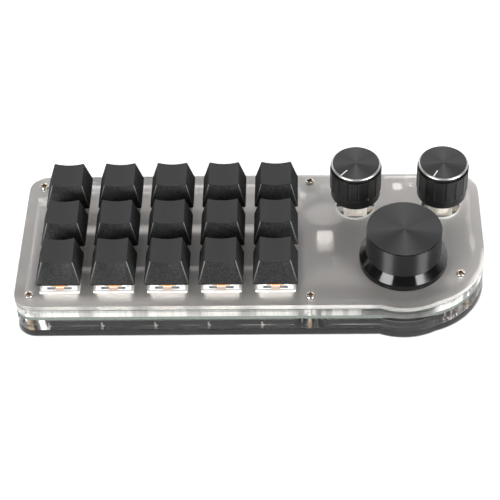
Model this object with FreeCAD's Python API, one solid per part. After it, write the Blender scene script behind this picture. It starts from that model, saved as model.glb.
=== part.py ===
import FreeCAD, Part
import math
import os

# Desktop macro keypad: fifteen sprung keys in three rows of five, two small fluted knobs and one
# large flared knob, on a sandwich of acrylic sheets, clear spacers and a circuit board.
# Millimetres, +X along the long side, +Y away from the user, +Z up. The origin is on the table,
# under the middle of the outline.

# Case sheets, from the table up
plate_length = 184.2
plate_depth = 72.0
left_corner_radius = 7.7
back_right_radius = 9.8
front_right_radius = 28.9
bottom_plate_thickness = 3.5
lower_spacer_height = 5.9
board_thickness = 1.6
upper_spacer_height = 3.8
top_plate_thickness = 2.3
spacer_wall = 4.0
upper_boss_radius = 4.5
lower_boss_radius = 6.2

# Keys, their columns spread over the plate's length and their rows over its depth
key_columns = 5
key_rows = 3
key_column_share = 0.114007
key_row_share = 0.291667
first_key_side_inset = 18.0
first_key_front_share = 0.205556
key_travel = 4.0

# Knobs
big_knob_side_inset = 32.35
big_knob_front_inset = 22.93
lobe_radius = 24.8
small_knob_back_inset = 17.2
small_knob_side_inset = 15.8
small_knob_spacing_share = 0.187296
knob_press_travel = 0.5
knob_hole_radius = 8.25

# Screws and standoffs
screw_radius = 1.0
screw_inset = 6.0
middle_screw_inset = 4.6
middle_screw_key_offset = 13.5
right_screw_bearing_degrees = -35.3
screw_head_radius = 1.75
screw_head_height = 1.2
screw_head_round = 0.55
recess_width = 0.5
recess_length = 2.2
recess_depth = 0.7
screw_hole_clearance = 0.1
thread_clearance = 0.05
thread_engagement = 2.3
standoff_radius = 1.7
standoff_clearance = 0.15
countersunk_head_radius = 1.9
countersunk_head_height = 0.9
countersink_clearance = 0.1
countersunk_recess = 0.05

# Switches: base with its flange on the top plate, cover above it, stem between them
switch_body = 13.8
switch_foot = 12.6
cutout_clearance = 0.1
switch_flange = 15.6
flange_height = 1.0
cover_foot = 14.0
cover_top_width = 10.4
cover_top_depth = 9.0
cover_height = 5.6
cover_corner_radius = 0.3
lamp_slot_width = 9.0
lamp_slot_height = 0.8
lamp_slot_lift = 0.25
lamp_slot_reach = 5.5
clip_notch_width = 0.9
clip_notch_height = 0.7
clip_notch_lift = 1.1
clip_notch_offset = 5.8
clip_notch_reach = 6.0
slider_width = 7.0
slider_depth = 5.4
slider_height = 5.2
slider_clearance = 0.2
leg_width = 3.0
leg_reach = 5.6
leg_height = 2.0
leg_head_room = 0.2
pocket_floor = 2.2
cross_length = 4.0
cross_width = 1.3
cross_height = 3.6
centre_post_radius = 1.95
centre_post_length = 3.3
post_hole_clearance = 0.1
switch_socket_width = 10.8
socket_depth = 3.6
socket_height = 1.8
socket_offset_x = 0.65
socket_offset_y = 4.1
socket_tab_width = 2.2
socket_tab_depth = 1.8
socket_tab_height = 0.9

# Keycaps
cap_width = 17.4
cap_depth = 17.2
cap_corner_radius = 0.8
cap_skirt = 0.9
cap_height = 9.75
cap_top_width = 12.0
cap_top_depth = 12.0
cap_top_corner_radius = 0.6
cap_hollow_corner_radius = 0.5
cap_top_setback = 1.9
cap_front_drop = 0.7
cap_wall = 1.4
cap_ceiling = 6.8
cap_clearance = 5.2
cap_edge_chamfer = 0.2
dish_depth = 1.05
cap_post_radius = 2.75
cap_post_gap = 0.05
cap_cross_clearance = 0.05

# Encoders
encoder_side = 11.7
encoder_chamfer = 1.2
encoder_base_height = 2.7
encoder_floor = 0.8
encoder_cavity_radius = 4.7
encoder_cover_thickness = 0.8
encoder_cover_width = 9.4
encoder_leg_thickness = 0.6
encoder_leg_width = 2.4
encoder_leg_gap = 1.15
bushing_radius = 3.5
bushing_height = 10.0
shaft_radius = 3.0
shaft_flat = 1.5
drive_flat = 2.0
running_clearance = 0.05
rotor_clearance = 0.1
small_shaft_length = 20.7
big_shaft_length = 17.6
shaft_end_gap = 0.3

# Small knobs
small_knob_lift = 6.6
small_knob_height = 16.35
collar_radius = 9.85
collar_height = 4.0
fluted_radius = 10.35
fluted_height = 10.15
flute_count = 16
flute_depth = 0.45
flute_width = 0.8
flute_bearing_degrees = 3.7
neck_radius = 9.2
ring_radius = 9.85
ring_chamfer_width = 0.7
ring_chamfer_height = 0.8
small_recess_radius = 7.5
small_recess_height = 3.0
pointer_width = 0.6
pointer_depth = 0.2
pointer_start = 5.4
left_pointer_bearing_degrees = -131.0
right_pointer_bearing_degrees = -118.0

# Big knob
big_knob_lift = 1.2
big_knob_height = 17.1
big_knob_radius = 14.6
big_knob_edge_chamfer = 0.25
flare_radius = 17.2
flare_band = 2.6
flare_top = 5.5
big_cavity_radius = 12.6
big_cavity_height = 13.0
big_boss_radius = 6.0
big_boss_lift = 7.2

# Knob set screws, on the side away from the user
set_screw_radius = 1.5
set_screw_length = 4.4
set_screw_tip_gap = 0.05
small_set_screw_height = 7.0
big_set_screw_height = 9.6
set_screw_socket_side = 1.3
set_screw_socket_depth = 1.5

# Board parts
usb_width = 8.94
usb_depth = 7.3
usb_height = 3.2
usb_round = 1.2
usb_wall = 0.3
usb_back_wall = 0.8
usb_tongue_width = 6.7
usb_tongue_height = 0.7
usb_tongue_length = 4.5
usb_notch_clearance = 0.25
header_width = 6.4
header_depth = 8.0
header_height = 2.8
header_round = 1.1
header_place_share = 0.389168
header_key_offset_y = 2.2
header_ledge_depth = 3.1
header_ledge_height = 1.4
chip_side = 10.0
chip_height = 1.6
chip_place_share = 0.501505
chip_pin_reach = 0.9
chip_pin_height = 0.3
chip_pin_width = 0.4
chip_pin_pitch = 1.2
chip_pins_per_side = 7

# Reach of every cutting tool past the face that it cuts
overrun = 1.0

# Heights worked out from the stack
lower_spacer_z = bottom_plate_thickness
board_z = lower_spacer_z + lower_spacer_height
board_top_z = board_z + board_thickness
top_plate_z = board_top_z + upper_spacer_height
case_top_z = top_plate_z + top_plate_thickness
encoder_cover_z = board_top_z + encoder_base_height
bushing_z = encoder_cover_z + encoder_cover_thickness

# Outline worked out so that it is centred on the origin, with the lobe in front
case_right = plate_length / 2
case_left = -case_right
case_back = (plate_depth + lobe_radius - big_knob_front_inset) / 2
case_front = case_back - plate_depth

column_pitch = plate_length * key_column_share
row_pitch = plate_depth * key_row_share
first_key_y = case_front + plate_depth * first_key_front_share
key_x = [case_left + first_key_side_inset + column_pitch * column for column in range(key_columns)]
key_y = [first_key_y + row_pitch * row for row in range(key_rows)]
key_places = [(x, y) for y in key_y for x in key_x]

big_knob_place = (case_right - big_knob_side_inset, case_front + big_knob_front_inset)
right_knob_place = (case_right - small_knob_side_inset, case_back - small_knob_back_inset)
left_knob_place = (right_knob_place[0] - plate_length * small_knob_spacing_share, right_knob_place[1])
knob_places = [left_knob_place, right_knob_place, big_knob_place]


def vector(x, y, z=0.0):
    return FreeCAD.Vector(x, y, z)


def block(width, depth, height, x=0.0, y=0.0, z=0.0):
    """Box centred on x and y, standing on z."""
    return Part.makeBox(width, depth, height, vector(x - width / 2, y - depth / 2, z))


def rod(radius, height, x=0.0, y=0.0, z=0.0):
    """Upright cylinder standing on z."""
    return Part.makeCylinder(radius, height, vector(x, y, z))


def cut_all(shape, tools):
    """Shape less a list of tools."""
    return shape.cut(Part.makeCompound(tools))


def join(shapes):
    """One solid from touching shapes, without seams between coplanar faces."""
    return shapes[0].fuse(shapes[1:]).removeSplitter()


def turned(profile):
    """Solid of revolution about Z from (radius, height) points."""
    points = [vector(radius, 0.0, height) for radius, height in profile]
    face = Part.Face(Part.makePolygon(points + points[:1]))
    return face.revolve(vector(0, 0, 0), vector(0, 0, 1), 360)


def prism(points, height, z=0.0):
    """Upright prism over a closed run of (x, y) points."""
    corners = [vector(x, y, z) for x, y in points]
    return Part.Face(Part.makePolygon(corners + corners[:1])).extrude(vector(0, 0, height))


def square_wire(side, z):
    """Square centred on the Z axis."""
    half = side / 2
    corners = [vector(-half, -half, z), vector(half, -half, z), vector(half, half, z), vector(-half, half, z)]
    return Part.makePolygon(corners + corners[:1])


def rounded_wire(x_low, x_high, y_low, y_high, radii, z):
    """Rectangle whose corners, anticlockwise from the front left, have their own radii."""
    corners = [(x_low, y_low, 1, 1), (x_high, y_low, -1, 1), (x_high, y_high, -1, -1), (x_low, y_high, 1, -1)]
    arcs = []
    for number, (x, y, side_x, side_y) in enumerate(corners):
        radius = radii[number]
        middle = radius * (1 - math.sqrt(0.5))
        beside_x = vector(x + side_x * radius, y, z)
        beside_y = vector(x, y + side_y * radius, z)
        ends = (beside_y, beside_x) if number % 2 == 0 else (beside_x, beside_y)
        arcs.append((ends[0], vector(x + side_x * middle, y + side_y * middle, z), ends[1]))
    edges = []
    for number, (start, middle, end) in enumerate(arcs):
        edges.append(Part.Arc(start, middle, end).toShape())
        edges.append(Part.LineSegment(end, arcs[(number + 1) % len(arcs)][0]).toShape())
    return Part.Wire(edges)


def rounded_rectangle(width, depth, radius, z, y=0.0):
    """Wire of a rounded rectangle centred on x = 0 and on y."""
    return rounded_wire(-width / 2, width / 2, y - depth / 2, y + depth / 2, [radius] * 4, z)


def sheet(inset, z, height):
    """Case outline without its lobe, drawn in by the inset."""
    radii = [left_corner_radius, front_right_radius, back_right_radius, left_corner_radius]
    wire = rounded_wire(
        case_left + inset, case_right - inset, case_front + inset, case_back - inset,
        [radius - inset for radius in radii], z,
    )
    return Part.Face(wire).extrude(vector(0, 0, height))


def case_sheet(inset, z, height):
    """Case outline with the round lobe that carries the big knob."""
    return join([sheet(inset, z, height), rod(lobe_radius - inset, height, *big_knob_place, z)])


def screw_places():
    """Three screws along the back and three along the front."""
    bearing = math.radians(right_screw_bearing_degrees)
    reach = front_right_radius - screw_inset
    arc_x = case_right - front_right_radius
    arc_y = case_front + front_right_radius
    middle_x = key_x[-1] + middle_screw_key_offset
    return [
        (case_left + screw_inset, case_front + screw_inset),
        (case_left + screw_inset, case_back - screw_inset),
        (middle_x, case_front + middle_screw_inset),
        (middle_x, case_back - middle_screw_inset),
        (arc_x + reach * math.cos(bearing), arc_y + reach * math.sin(bearing)),
        (case_right - screw_inset, case_back - screw_inset),
    ]


def screw_holes(radius, z, height):
    return [rod(radius, height + 2 * overrun, x, y, z - overrun) for x, y in screw_places()]


def top_plate():
    """Frosted sheet with a square hole for each switch and a round one for each encoder."""
    cutout = switch_body + 2 * cutout_clearance
    deep = top_plate_thickness + 2 * overrun
    tools = [block(cutout, cutout, deep, x, y, top_plate_z - overrun) for x, y in key_places]
    tools += [rod(knob_hole_radius, deep, x, y, top_plate_z - overrun) for x, y in knob_places]
    tools += screw_holes(screw_radius + screw_hole_clearance, top_plate_z, top_plate_thickness)
    return cut_all(case_sheet(0.0, top_plate_z, top_plate_thickness), tools)


def spacer(z, height, boss_radius, hole_radius):
    """Clear ring along the outline, with a boss round each screw."""
    outer = case_sheet(0.0, z, height)
    window = case_sheet(spacer_wall, z - overrun, height + 2 * overrun)
    bosses = [rod(boss_radius, height, x, y, z).common(outer) for x, y in screw_places()]
    ring = join([outer.cut(window)] + bosses)
    return cut_all(ring, screw_holes(hole_radius, z, height))


def upper_spacer():
    """Ring between board and top plate, open at the back for the data socket."""
    ring = spacer(board_top_z, upper_spacer_height, upper_boss_radius, screw_radius + screw_hole_clearance)
    notch_width = usb_width + 2 * usb_notch_clearance
    notch_depth = 2 * (usb_depth + usb_notch_clearance)
    x, y = usb_place()
    notch_height = upper_spacer_height + 2 * overrun
    return ring.cut(block(notch_width, notch_depth, notch_height, x, y, board_top_z - overrun))


def lower_spacer():
    """Ring between bottom plate and board, with holes for the standoffs."""
    hole_radius = standoff_radius + standoff_clearance
    return spacer(lower_spacer_z, lower_spacer_height, lower_boss_radius, hole_radius)


def circuit_board():
    """Board of the same outline but without the lobe, drilled for screws and switch posts."""
    deep = board_thickness + 2 * overrun
    hole = centre_post_radius + post_hole_clearance
    tools = [rod(hole, deep, x, y, board_z - overrun) for x, y in key_places]
    tools += screw_holes(screw_radius + screw_hole_clearance, board_z, board_thickness)
    return cut_all(sheet(0.0, board_z, board_thickness), tools)


def countersunk_cone(radius_gain, x, y, z):
    """Cone of a countersunk head, wide end down."""
    wide = countersunk_head_radius + radius_gain
    narrow = screw_radius + radius_gain
    return Part.makeCone(wide, narrow, countersunk_head_height, vector(x, y, z))


def bottom_plate():
    """Black sheet with countersunk holes in its underside."""
    tools = screw_holes(screw_radius + screw_hole_clearance, 0.0, bottom_plate_thickness)
    tools += [countersunk_cone(countersink_clearance, x, y, 0.0) for x, y in screw_places()]
    return cut_all(case_sheet(0.0, 0.0, bottom_plate_thickness), tools)


def standoff(x, y):
    """Threaded tube between bottom plate and board."""
    tube = rod(standoff_radius, lower_spacer_height, x, y, lower_spacer_z)
    through = lower_spacer_height + 2 * overrun
    return tube.cut(rod(screw_radius + thread_clearance, through, x, y, lower_spacer_z - overrun))


def top_screw(x, y):
    """Pan head with a cross recess on the top plate, its shank in the standoff."""
    head = rod(screw_head_radius, screw_head_height, x, y, case_top_z)
    rim = [edge for edge in head.Edges if edge.BoundBox.ZMin > case_top_z + screw_head_height / 2]
    head = head.makeFillet(screw_head_round, rim)
    slot_z = case_top_z + screw_head_height - recess_depth
    cross = [
        block(recess_length, recess_width, recess_depth + overrun, x, y, slot_z),
        block(recess_width, recess_length, recess_depth + overrun, x, y, slot_z),
    ]
    shank_z = board_z - thread_engagement
    return join([cut_all(head, cross), rod(screw_radius, case_top_z - shank_z, x, y, shank_z)])


def bottom_screw(x, y):
    """Countersunk screw, a hair below the face of the bottom plate."""
    shank_length = bottom_plate_thickness + thread_engagement - countersunk_recess
    shank = rod(screw_radius, shank_length, x, y, countersunk_recess)
    head = countersunk_cone(0.0, x, y, countersunk_recess)
    cross = [
        block(recess_length, recess_width, recess_depth + overrun, x, y, countersunk_recess - overrun),
        block(recess_width, recess_length, recess_depth + overrun, x, y, countersunk_recess - overrun),
    ]
    return cut_all(join([head, shank]), cross)


def slider_slots(z, height, slot_height):
    """Room for the stem's slider and its front leg, at the origin."""
    width = slider_width + 2 * slider_clearance
    depth = slider_depth + 2 * slider_clearance
    slot_depth = leg_reach + slider_clearance
    leg_slot = block(leg_width + 2 * slider_clearance, slot_depth, slot_height, 0.0, -slot_depth / 2, z)
    return [block(width, depth, height, 0.0, 0.0, z), leg_slot]


def switch_base(x, y):
    """Square body through the top plate, narrower towards the board, with a flange and a post."""
    body = block(switch_body, switch_body, top_plate_thickness, 0.0, 0.0, top_plate_z)
    foot_wires = [square_wire(switch_foot, board_top_z), square_wire(switch_body, top_plate_z)]
    foot = Part.makeLoft(foot_wires, True, True)
    flange = block(switch_flange, switch_flange, flange_height, 0.0, 0.0, case_top_z)
    post = rod(centre_post_radius, centre_post_length, 0.0, 0.0, board_top_z - centre_post_length)
    pocket_z = board_top_z + pocket_floor
    pocket_height = case_top_z + flange_height + overrun - pocket_z
    base = cut_all(join([body, foot, flange, post]), slider_slots(pocket_z, pocket_height, pocket_height))
    return base.translated(vector(x, y))


def front_cut(width, height, reach, x, z):
    """Cutting box on the front of a switch cover, from a reach in front of its middle outwards."""
    depth = cover_foot / 2 + overrun - reach
    return block(width, depth, height, x, -reach - depth / 2, z)


def switch_cover(x, y):
    """Tapered cover with the slider's opening and a slot in front where the leg shows."""
    foot_z = case_top_z + flange_height
    foot = rounded_rectangle(cover_foot, cover_foot, cover_corner_radius, foot_z)
    top = rounded_rectangle(cover_top_width, cover_top_depth, cover_corner_radius, foot_z + cover_height)
    cover = Part.makeLoft([foot, top], True, True)
    through = cover_height + 2 * overrun
    slot_height = cover_height - slider_height + leg_height + leg_head_room
    tools = slider_slots(foot_z - overrun, through, slot_height + overrun)
    tools.append(
        block(leg_width + 2 * slider_clearance, cover_foot / 2 + overrun, slot_height + overrun,
              0.0, -(cover_foot / 2 + overrun) / 2, foot_z - overrun)
    )
    tools.append(front_cut(lamp_slot_width, lamp_slot_height, lamp_slot_reach, 0.0, foot_z + lamp_slot_lift))
    for side in (-1, 1):
        notch_x = side * clip_notch_offset
        notch_z = foot_z + clip_notch_lift
        tools.append(front_cut(clip_notch_width, clip_notch_height, clip_notch_reach, notch_x, notch_z))
    return cut_all(cover, tools).translated(vector(x, y))


def switch_stem(x, y):
    """Slider with a leg in front and the cross that carries the keycap."""
    shoulder_z = case_top_z + flange_height + cover_height
    slider_z = shoulder_z - slider_height
    slider = block(slider_width, slider_depth, slider_height, 0.0, 0.0, slider_z)
    leg = block(leg_width, leg_reach, leg_height, 0.0, -leg_reach / 2, slider_z)
    along = block(cross_length, cross_width, cross_height, 0.0, 0.0, shoulder_z)
    across = block(cross_width, cross_length, cross_height, 0.0, 0.0, shoulder_z)
    return join([slider, leg, along, across]).translated(vector(x, y))


def switch_socket(x, y):
    """Contact socket under the board, with a metal tab at each end."""
    body = block(
        switch_socket_width - 2 * socket_tab_width, socket_depth, socket_height,
        socket_offset_x, socket_offset_y, board_z - socket_height,
    )
    tabs = [
        block(
            socket_tab_width, socket_tab_depth, socket_tab_height,
            socket_offset_x + side * (switch_socket_width - socket_tab_width) / 2,
            socket_offset_y + side * (socket_depth - socket_tab_depth) / 2,
            board_z - socket_tab_height,
        )
        for side in (-1, 1)
    ]
    return join([body] + tabs).translated(vector(x, y))


def cap_shell():
    """Outer form of a keycap on z = 0: straight skirt, then a taper that leans back."""
    skirt = Part.Face(rounded_rectangle(cap_width, cap_depth, cap_corner_radius, 0.0))
    foot = rounded_rectangle(cap_width, cap_depth, cap_corner_radius, cap_skirt)
    top = rounded_rectangle(cap_top_width, cap_top_depth, cap_top_corner_radius, cap_height, cap_top_setback)
    return join([skirt.extrude(vector(0, 0, cap_skirt)), Part.makeLoft([foot, top], True, True)])


def cap_dish():
    """Cylinder along Y, tipped down at the front, whose underside is the finger dish."""
    half_width = cap_top_width / 2
    dish_radius = (half_width ** 2 + dish_depth ** 2) / (2 * dish_depth)
    length = cap_depth + 2 * overrun
    tilt = math.degrees(math.atan2(cap_front_drop, cap_top_depth))
    dish = Part.makeCylinder(dish_radius, length, vector(0, -length / 2, 0), vector(0, 1, 0))
    dish.rotate(vector(0, 0, 0), vector(1, 0, 0), tilt)
    lowest = cap_height - cap_front_drop / 2 - dish_depth
    dish.translate(vector(0, cap_top_setback, lowest + dish_radius))
    return dish


def cap_hollow():
    """Inside of a keycap, one wall within its outer form."""
    share_up = (cap_ceiling - cap_skirt) / (cap_height - cap_skirt)
    width = cap_width + (cap_top_width - cap_width) * share_up - 2 * cap_wall
    depth = cap_depth + (cap_top_depth - cap_depth) * share_up - 2 * cap_wall
    corner = cap_hollow_corner_radius
    mouth = rounded_rectangle(cap_width - 2 * cap_wall, cap_depth - 2 * cap_wall, corner, 0.0)
    ceiling = rounded_rectangle(width, depth, corner, cap_ceiling, cap_top_setback * share_up)
    return Part.makeLoft([mouth, ceiling], True, True)


def keycap_form():
    """Keycap on z = 0 with its dish, hollow and the post that takes the stem's cross."""
    form = cap_shell().cut(cap_dish())
    rim = [edge for edge in form.Edges if edge.BoundBox.ZMin > cap_height - dish_depth - cap_front_drop * 2]
    form = form.makeChamfer(cap_edge_chamfer, rim)
    post_z = cover_height + flange_height + cap_post_gap - cap_clearance
    post = rod(cap_post_radius, cap_ceiling - post_z, 0.0, 0.0, post_z)
    socket_height = cross_height + cap_cross_clearance
    long_side = cross_length + 2 * cap_cross_clearance
    short_side = cross_width + 2 * cap_cross_clearance
    cross = [
        block(long_side, short_side, socket_height, 0.0, 0.0, post_z),
        block(short_side, long_side, socket_height, 0.0, 0.0, post_z),
    ]
    return join([form.cut(cap_hollow()), cut_all(post, cross)])


def chamfered_square(side, chamfer):
    """Eight (x, y) corners of a square with its corners cut off."""
    half = side / 2
    short = half - chamfer
    return [
        (-short, -half), (short, -half), (half, -short), (half, short),
        (short, half), (-short, half), (-half, short), (-half, -short),
    ]


def encoder_base(x, y):
    """Moulded base on the board with a round cavity for the rotor."""
    base = prism(chamfered_square(encoder_side, encoder_chamfer), encoder_base_height, board_top_z)
    cavity = rod(encoder_cavity_radius, encoder_base_height, 0.0, 0.0, board_top_z + encoder_floor)
    return base.cut(cavity).translated(vector(x, y))


def encoder_frame(x, y):
    """Metal cover strip with a leg down each side and the bushing that guides the shaft."""
    cover = block(encoder_cover_width, encoder_side, encoder_cover_thickness, 0.0, 0.0, encoder_cover_z)
    leg_height = bushing_z - board_top_z
    leg_x = (encoder_side + encoder_leg_thickness) / 2 + encoder_leg_gap
    bridge_width = encoder_side + 2 * (encoder_leg_gap + encoder_leg_thickness)
    bridge = block(bridge_width, encoder_leg_width, encoder_cover_thickness, 0.0, 0.0, encoder_cover_z)
    legs = [
        block(encoder_leg_thickness, encoder_leg_width, leg_height, side * leg_x, 0.0, board_top_z)
        for side in (-1, 1)
    ]
    bushing = rod(bushing_radius, bushing_height, 0.0, 0.0, bushing_z)
    bore_height = encoder_cover_thickness + bushing_height + 2 * overrun
    bore = rod(shaft_radius + running_clearance, bore_height, 0.0, 0.0, encoder_cover_z - overrun)
    return join([cover, bridge, bushing] + legs).cut(bore).translated(vector(x, y))


def encoder_rotor(x, y):
    """Drum that turns in the base; its two-flat bore takes the shaft's turn and lets it slide."""
    height = encoder_base_height - encoder_floor - 2 * rotor_clearance
    z = board_top_z + encoder_floor + rotor_clearance
    through = height + 2 * overrun
    bore = rod(shaft_radius + running_clearance, through, 0.0, 0.0, z - overrun)
    flats_width = 2 * (drive_flat + running_clearance)
    flats = block(flats_width, 2 * (shaft_radius + overrun), through, 0.0, 0.0, z - overrun)
    drum = rod(encoder_cavity_radius - rotor_clearance, height, 0.0, 0.0, z)
    return drum.cut(bore.common(flats)).translated(vector(x, y))


def encoder_shaft(length, x, y):
    """Shaft with two drive flats in the rotor and one flat for the set screw above the bushing."""
    z = board_top_z + encoder_floor + knob_press_travel + rotor_clearance
    top_z = bushing_z + length
    shaft = rod(shaft_radius, top_z - z, 0.0, 0.0, z)
    flat_z = bushing_z + bushing_height
    flat_depth = shaft_radius - shaft_flat + overrun
    flat_y = shaft_flat + flat_depth / 2
    flat = block(2 * shaft_radius, flat_depth, top_z - flat_z + overrun, 0.0, flat_y, flat_z)
    drive_depth = shaft_radius - drive_flat + overrun
    drive_x = drive_flat + drive_depth / 2
    drive_height = encoder_cover_z + knob_press_travel + overrun - z
    drive = [
        block(drive_depth, 2 * (shaft_radius + overrun), drive_height, side * drive_x, 0.0, z - overrun)
        for side in (-1, 1)
    ]
    return cut_all(shaft, [flat] + drive).translated(vector(x, y))


def set_screw_hole(z):
    """Cutting rod from the axis out through the back of a knob."""
    reach = flare_radius + overrun
    return Part.makeCylinder(set_screw_radius + thread_clearance, reach, vector(0, 0, z), vector(0, 1, 0))


def set_screw(x, y, z):
    """Grub screw with a square drive, its tip on the shaft's flat."""
    tip = shaft_flat + set_screw_tip_gap
    screw = Part.makeCylinder(set_screw_radius, set_screw_length, vector(0, tip, z), vector(0, 1, 0))
    drive = block(
        set_screw_socket_side, set_screw_socket_depth + overrun, set_screw_socket_side,
        0.0, tip + set_screw_length - (set_screw_socket_depth - overrun) / 2, z - set_screw_socket_side / 2,
    )
    return screw.cut(drive).translated(vector(x, y))


def fluted_drum():
    """Drum of flat lands with a narrow groove between each two."""
    points = []
    half_groove = math.degrees(math.asin(flute_width / 2 / fluted_radius))
    groove_radius = fluted_radius - flute_depth
    for number in range(flute_count):
        middle = flute_bearing_degrees + 360.0 * number / flute_count
        steps = [(-half_groove, fluted_radius), (0.0, groove_radius), (half_groove, fluted_radius)]
        for offset, radius in steps:
            bearing = math.radians(middle + offset)
            points.append((radius * math.cos(bearing), radius * math.sin(bearing)))
    return prism(points, fluted_height, collar_height)


def small_knob_form():
    """Small knob on z = 0: collar, fluted drum, neck and chamfered top ring."""
    ring_z = small_knob_height - ring_chamfer_height
    outside = turned([
        (0.0, 0.0),
        (collar_radius, 0.0),
        (collar_radius, collar_height),
        (neck_radius, collar_height),
        (neck_radius, ring_z),
        (ring_radius, ring_z),
        (ring_radius - ring_chamfer_width, small_knob_height),
        (0.0, small_knob_height),
    ])
    shaft_reach = bushing_z + small_shaft_length + shaft_end_gap - case_top_z - small_knob_lift
    tools = [
        rod(small_recess_radius, small_recess_height + overrun, 0.0, 0.0, -overrun),
        rod(shaft_radius + running_clearance, shaft_reach, 0.0, 0.0, 0.0),
        set_screw_hole(small_set_screw_height),
    ]
    return cut_all(join([outside, fluted_drum()]), tools)


def small_knob(bearing_degrees, x, y):
    """Small knob with its pointer slot turned to the bearing."""
    slot_length = ring_radius - pointer_start
    slot = block(
        slot_length, pointer_width, pointer_depth + overrun,
        pointer_start + slot_length / 2, 0.0, small_knob_height - pointer_depth,
    )
    slot.rotate(vector(0, 0, 0), vector(0, 0, 1), bearing_degrees)
    return small_knob_form().cut(slot).translated(vector(x, y, case_top_z + small_knob_lift))


def big_knob(x, y):
    """Wide cylinder on a flared foot, hollow underneath round a boss for the shaft."""
    outside = turned([
        (0.0, 0.0),
        (flare_radius, 0.0),
        (flare_radius, flare_band),
        (big_knob_radius, flare_top),
        (big_knob_radius, big_knob_height - big_knob_edge_chamfer),
        (big_knob_radius - big_knob_edge_chamfer, big_knob_height),
        (0.0, big_knob_height),
    ])
    hollow = turned([
        (0.0, -overrun),
        (big_cavity_radius, -overrun),
        (big_cavity_radius, big_cavity_height),
        (big_boss_radius, big_cavity_height),
        (big_boss_radius, big_boss_lift),
        (0.0, big_boss_lift),
    ])
    shaft_reach = bushing_z + big_shaft_length + shaft_end_gap - case_top_z - big_knob_lift
    tools = [
        hollow,
        rod(shaft_radius + running_clearance, shaft_reach, 0.0, 0.0, 0.0),
        set_screw_hole(big_set_screw_height),
    ]
    return cut_all(outside, tools).translated(vector(x, y, case_top_z + big_knob_lift))


def usb_place():
    """Middle of the data socket's mouth, at the back edge between the small knobs."""
    return ((left_knob_place[0] + right_knob_place[0]) / 2, case_back)


def usb_socket():
    """Oval metal shell with a contact tongue, open towards the back."""
    x, y = usb_place()
    shell = block(usb_width, usb_depth, usb_height, 0.0, -usb_depth / 2, 0.0)
    long_edges = [edge for edge in shell.Edges if abs(edge.tangentAt(edge.FirstParameter).y) > 0.5]
    shell = shell.makeFillet(usb_round, long_edges)
    mouth_depth = usb_depth - usb_back_wall
    mouth_width = usb_width - 2 * usb_wall
    mouth_height = usb_height - 2 * usb_wall
    mouth_y = -(mouth_depth - overrun) / 2
    mouth = block(mouth_width, mouth_depth + overrun, mouth_height, 0.0, mouth_y, usb_wall)
    long_edges = [edge for edge in mouth.Edges if abs(edge.tangentAt(edge.FirstParameter).y) > 0.5]
    mouth = mouth.makeFillet(usb_round - usb_wall, long_edges)
    tongue = block(
        usb_tongue_width, usb_tongue_length, usb_tongue_height,
        0.0, -mouth_depth + usb_tongue_length / 2, (usb_height - usb_tongue_height) / 2,
    )
    return join([shell.cut(mouth), tongue]).translated(vector(x, y, board_top_z))


def beside_keys(share):
    """Place along X between the last key column, at 0, and the big knob, at 1."""
    return key_x[-1] + (big_knob_place[0] - key_x[-1]) * share


def board_header():
    """White plastic header on the board beside the keys, with a low ledge in front."""
    x = beside_keys(header_place_share)
    y = key_y[1] + header_key_offset_y
    body = block(header_width, header_depth, header_height, x, y, board_top_z)
    corners = [edge for edge in body.Edges if edge.BoundBox.ZLength > header_height / 2]
    step_width = header_width + 2 * overrun
    step_depth = header_ledge_depth + overrun
    step_y = y - (header_depth - header_ledge_depth + overrun) / 2
    ledge_z = board_top_z + header_ledge_height
    step = block(step_width, step_depth, header_height, x, step_y, ledge_z)
    return body.makeFillet(header_round, corners).cut(step)


def controller_chip():
    """Square chip under the board with a row of pins on each side."""
    x = beside_keys(chip_place_share)
    y = (key_y[0] + key_y[1]) / 2
    body = block(chip_side, chip_side, chip_height, 0.0, 0.0, board_z - chip_height)
    pins = []
    reach = chip_side + 2 * chip_pin_reach
    for number in range(chip_pins_per_side):
        offset = (number - (chip_pins_per_side - 1) / 2) * chip_pin_pitch
        pins.append(block(reach, chip_pin_width, chip_pin_height, 0.0, offset, board_z - chip_pin_height))
        pins.append(block(chip_pin_width, reach, chip_pin_height, offset, 0.0, board_z - chip_pin_height))
    return join([body] + pins).translated(vector(x, y))


def save(name, shape):
    shape.exportStep(os.path.join("parts", name + ".step"))


def save_group(name, shapes):
    save(name, Part.makeCompound(shapes))


os.makedirs("parts", exist_ok=True)

save("bottom_plate", bottom_plate())
save("lower_spacer", lower_spacer())
save("circuit_board", circuit_board())
save("upper_spacer", upper_spacer())
save("top_plate", top_plate())
save_group("standoffs", [standoff(x, y) for x, y in screw_places()])
save_group("top_screws", [top_screw(x, y) for x, y in screw_places()])
save_group("bottom_screws", [bottom_screw(x, y) for x, y in screw_places()])
save("usb_socket", usb_socket())
save("board_header", board_header())
save("controller_chip", controller_chip())

save_group("switch_bases", [switch_base(x, y) for x, y in key_places])
save_group("switch_covers", [switch_cover(x, y) for x, y in key_places])
save_group("switch_sockets", [switch_socket(x, y) for x, y in key_places])
cap = keycap_form()
for row, y in enumerate(key_y, start=1):
    for column, x in enumerate(key_x, start=1):
        save(f"switch_stem_{row}{column}", switch_stem(x, y))
        save(f"keycap_{row}{column}", cap.translated(vector(x, y, case_top_z + cap_clearance)))

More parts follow.
